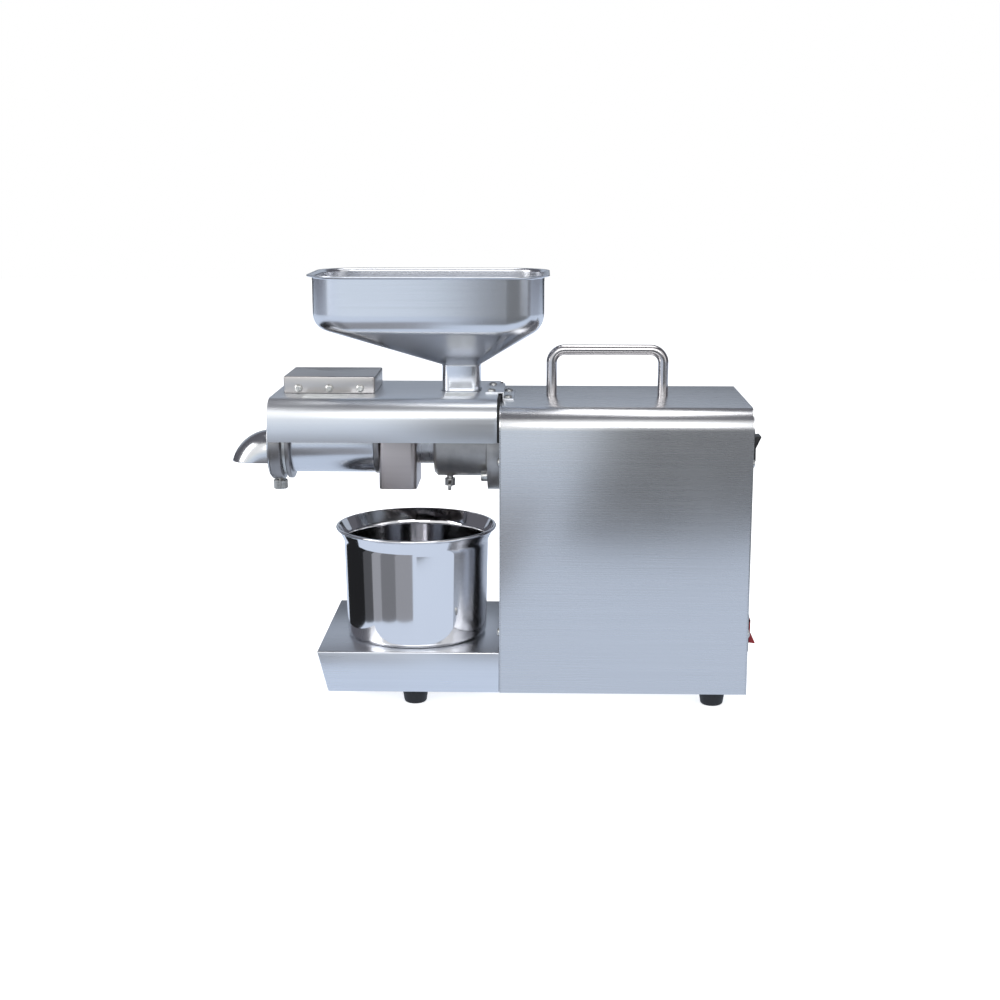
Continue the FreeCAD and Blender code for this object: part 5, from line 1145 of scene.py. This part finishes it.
def make_floor():
    """A pale table top that stays white to the eye and keeps the press's shadow."""
    size = 6.0
    floor = build(
        "table_top",
        [Vector((x * size, y * size, 0)) for x, y in ((-1, -1), (1, -1), (1, 1), (-1, 1))],
        [(0, 1, 2, 3)],
    )
    paint = bpy.data.materials.new("table_top")
    paint.use_nodes = True
    nodes, links = paint.node_tree.nodes, paint.node_tree.links
    shader = nodes["Principled BSDF"]
    shader.inputs["Base Color"].default_value = (0.9, 0.9, 0.9, 1)
    shader.inputs["Roughness"].default_value = 0.9
    shader.inputs["Specular IOR Level"].default_value = 0.0
    seen = nodes.new("ShaderNodeEmission")
    seen.inputs["Color"].default_value = (0.70, 0.79, 0.94, 1)
    white = nodes.new("ShaderNodeEmission")
    white.inputs["Strength"].default_value = 0.72
    path = nodes.new("ShaderNodeLightPath")
    shadowed = nodes.new("ShaderNodeAddShader")
    links.new(shader.outputs[0], shadowed.inputs[0])
    links.new(white.outputs[0], shadowed.inputs[1])
    by_camera = nodes.new("ShaderNodeMixShader")
    links.new(path.outputs["Is Camera Ray"], by_camera.inputs[0])
    links.new(shader.outputs[0], by_camera.inputs[1])
    links.new(shadowed.outputs[0], by_camera.inputs[2])
    by_gloss = nodes.new("ShaderNodeMixShader")
    links.new(path.outputs["Is Glossy Ray"], by_gloss.inputs[0])
    links.new(by_camera.outputs[0], by_gloss.inputs[1])
    links.new(seen.outputs[0], by_gloss.inputs[2])
    links.new(by_gloss.outputs[0], nodes["Material Output"].inputs["Surface"])
    floor.data.materials.append(paint)


def make_world():
    world = bpy.data.worlds.new("studio")
    bpy.context.scene.world = world
    world.use_nodes = True
    nodes, links = world.node_tree.nodes, world.node_tree.links
    soft = nodes["Background"]
    soft.inputs["Color"].default_value = (0.93, 0.96, 1.0, 1)
    soft.inputs["Strength"].default_value = 0.55
    white = nodes.new("ShaderNodeBackground")
    white.inputs["Color"].default_value = (1, 1, 1, 1)
    white.inputs["Strength"].default_value = 1.0
    path = nodes.new("ShaderNodeLightPath")
    seen = nodes.new("ShaderNodeMath")
    seen.operation = "MAXIMUM"
    links.new(path.outputs["Is Camera Ray"], seen.inputs[0])
    links.new(path.outputs["Is Glossy Ray"], seen.inputs[1])
    clear = nodes.new("ShaderNodeMath")
    clear.operation = "MAXIMUM"
    links.new(seen.outputs[0], clear.inputs[0])
    links.new(path.outputs["Is Transmission Ray"], clear.inputs[1])
    mix = nodes.new("ShaderNodeMixShader")
    links.new(clear.outputs[0], mix.inputs[0])
    links.new(soft.outputs[0], mix.inputs[1])
    links.new(white.outputs[0], mix.inputs[2])
    links.new(mix.outputs[0], nodes["World Output"].inputs["Surface"])


def softbox(name, place, aim, size, power, colour=(1, 1, 1)):
    lamp = bpy.data.lights.new(name, "AREA")
    lamp.shape = "RECTANGLE"
    lamp.size, lamp.size_y = size
    lamp.energy = power
    lamp.color = colour
    holder = bpy.data.objects.new(name, lamp)
    bpy.context.scene.collection.objects.link(holder)
    holder.location = place
    holder.rotation_euler = (Vector(aim) - Vector(place)).to_track_quat("-Z", "Y").to_euler()
    holder.visible_camera = False


def make_studio():
    make_world()
    make_floor()
    middle = (0, 0, 0.2)
    softbox("front_softbox", (0.3, -2.6, 1.5), middle, (2.6, 1.2), 20, (0.97, 0.985, 1.0))
    softbox("side_softbox", (-2.0, -0.9, 1.2), middle, (0.9, 1.6), 14)
    softbox("top_softbox", (0.2, 0.3, 2.2), middle, (1.6, 1.2), 16)
    wall, front, floor = 3.0, -3.3, 0.002
    dim, deep, pale = (0.13, 0.13, 0.15), (0.04, 0.045, 0.05), (0.45, 0.50, 0.58)
    grey, bright = (0.19, 0.20, 0.215), (0.86, 0.94, 1.0)
    upright("left_wall", "x", -wall, (-1.2, wall), (-0.2, wall), dim)
    upright("right_wall", "x", wall, (-1.2, wall), (-0.2, wall), dim)
    upright("back_wall_foot", "y", wall, (-wall, wall), (-0.2, 0.62), deep)
    upright("back_wall", "y", wall, (-wall, wall), (0.62, 1.9), pale)
    upright("back_wall_top", "y", wall, (-wall, wall), (1.9, wall), dim)
    upright("front_wall", "y", front, (-0.07, wall), (floor, 1.0), grey)
    upright("front_wall_left", "y", front, (-wall, -0.07), (floor, 0.5), bright)
    upright("ceiling", "z", wall, (-wall, wall), (-2.2, wall), dim)
    upright("front_floor", "z", floor, (-0.03, wall), (front, -0.52), grey)
    cup_streaks(floor)


def upright(name, axis, place, first, second, colour):
    """A card square to an axis, over a range of each of the other two."""
    corners = [(first[i], second[j]) for i, j in ((0, 0), (1, 0), (1, 1), (0, 1))]
    stage_card(name, [PLANES[axis](place, a, b) for a, b in corners], colour)


def cup_streaks(height):
    """Floor cards whose mirror images stand as streaks in the polished cup."""
    low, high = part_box("oil_cup")
    centre = (low + high) / 2
    radius = CUP_STREAK_RADIUS
    eye = bpy.context.scene.camera.location
    facing = math.atan2(eye.x - centre.x, centre.y - eye.y)
    streaks = (
        (-0.97, -0.74, 0.02),
        (-0.74, -0.62, 0.10),
        (-0.62, -0.50, 0.38),
        (-0.50, -0.30, 0.22),
        (-0.30, -0.06, 0.36),
    )
    for number, (start, end, tone) in enumerate(streaks):
        corners = []
        for share, reaches in ((start, (0.2, 0.8)), (end, (0.8, 0.2))):
            turn = math.asin(share) + facing
            way = 2 * turn - facing
            foot = Vector((centre.x + radius * math.sin(turn), centre.y - radius * math.cos(turn), height))
            for reach in reaches:
                corners.append(foot + Vector((math.sin(way), -math.cos(way), 0)) * reach)
        stage_card(f"cup_streak_{number}", corners, (tone * 0.94, tone * 0.97, tone * 1.06))


def make_camera():
    lens = bpy.data.cameras.new("camera")
    lens.lens = 57.3
    lens.sensor_width = 36
    camera = bpy.data.objects.new("camera", lens)
    bpy.context.scene.collection.objects.link(camera)
    camera.location = (0.0484, -1.5131, 0.4901)
    camera.rotation_euler = (math.radians(78.43), 0, math.radians(1.49))
    bpy.context.scene.camera = camera


# --- the whole press -------------------------------------------------------------------

bpy.context.scene.view_settings.view_transform = "Standard"
make_camera()
make_studio()
make_wrap_cover()
make_feet()
make_handle()
make_barrel_cover()
make_terminal_box()
make_labels()
make_barrel()
make_spout()
make_spout_screw()
make_wing_bolt()
make_hopper()
make_tray()
make_oil_cup()
screws = screw_tree()
make_screws("cabinet_screws", "cabinet_screw_set", "cross", "zinc_steel", screws)
make_screws("cover_screws", "cover_screw_set", "cross", "zinc_steel", screws)
make_screws("neck_bolts", "neck_bolt_set", "hexagon", "zinc_steel", screws)
make_panel_fittings()
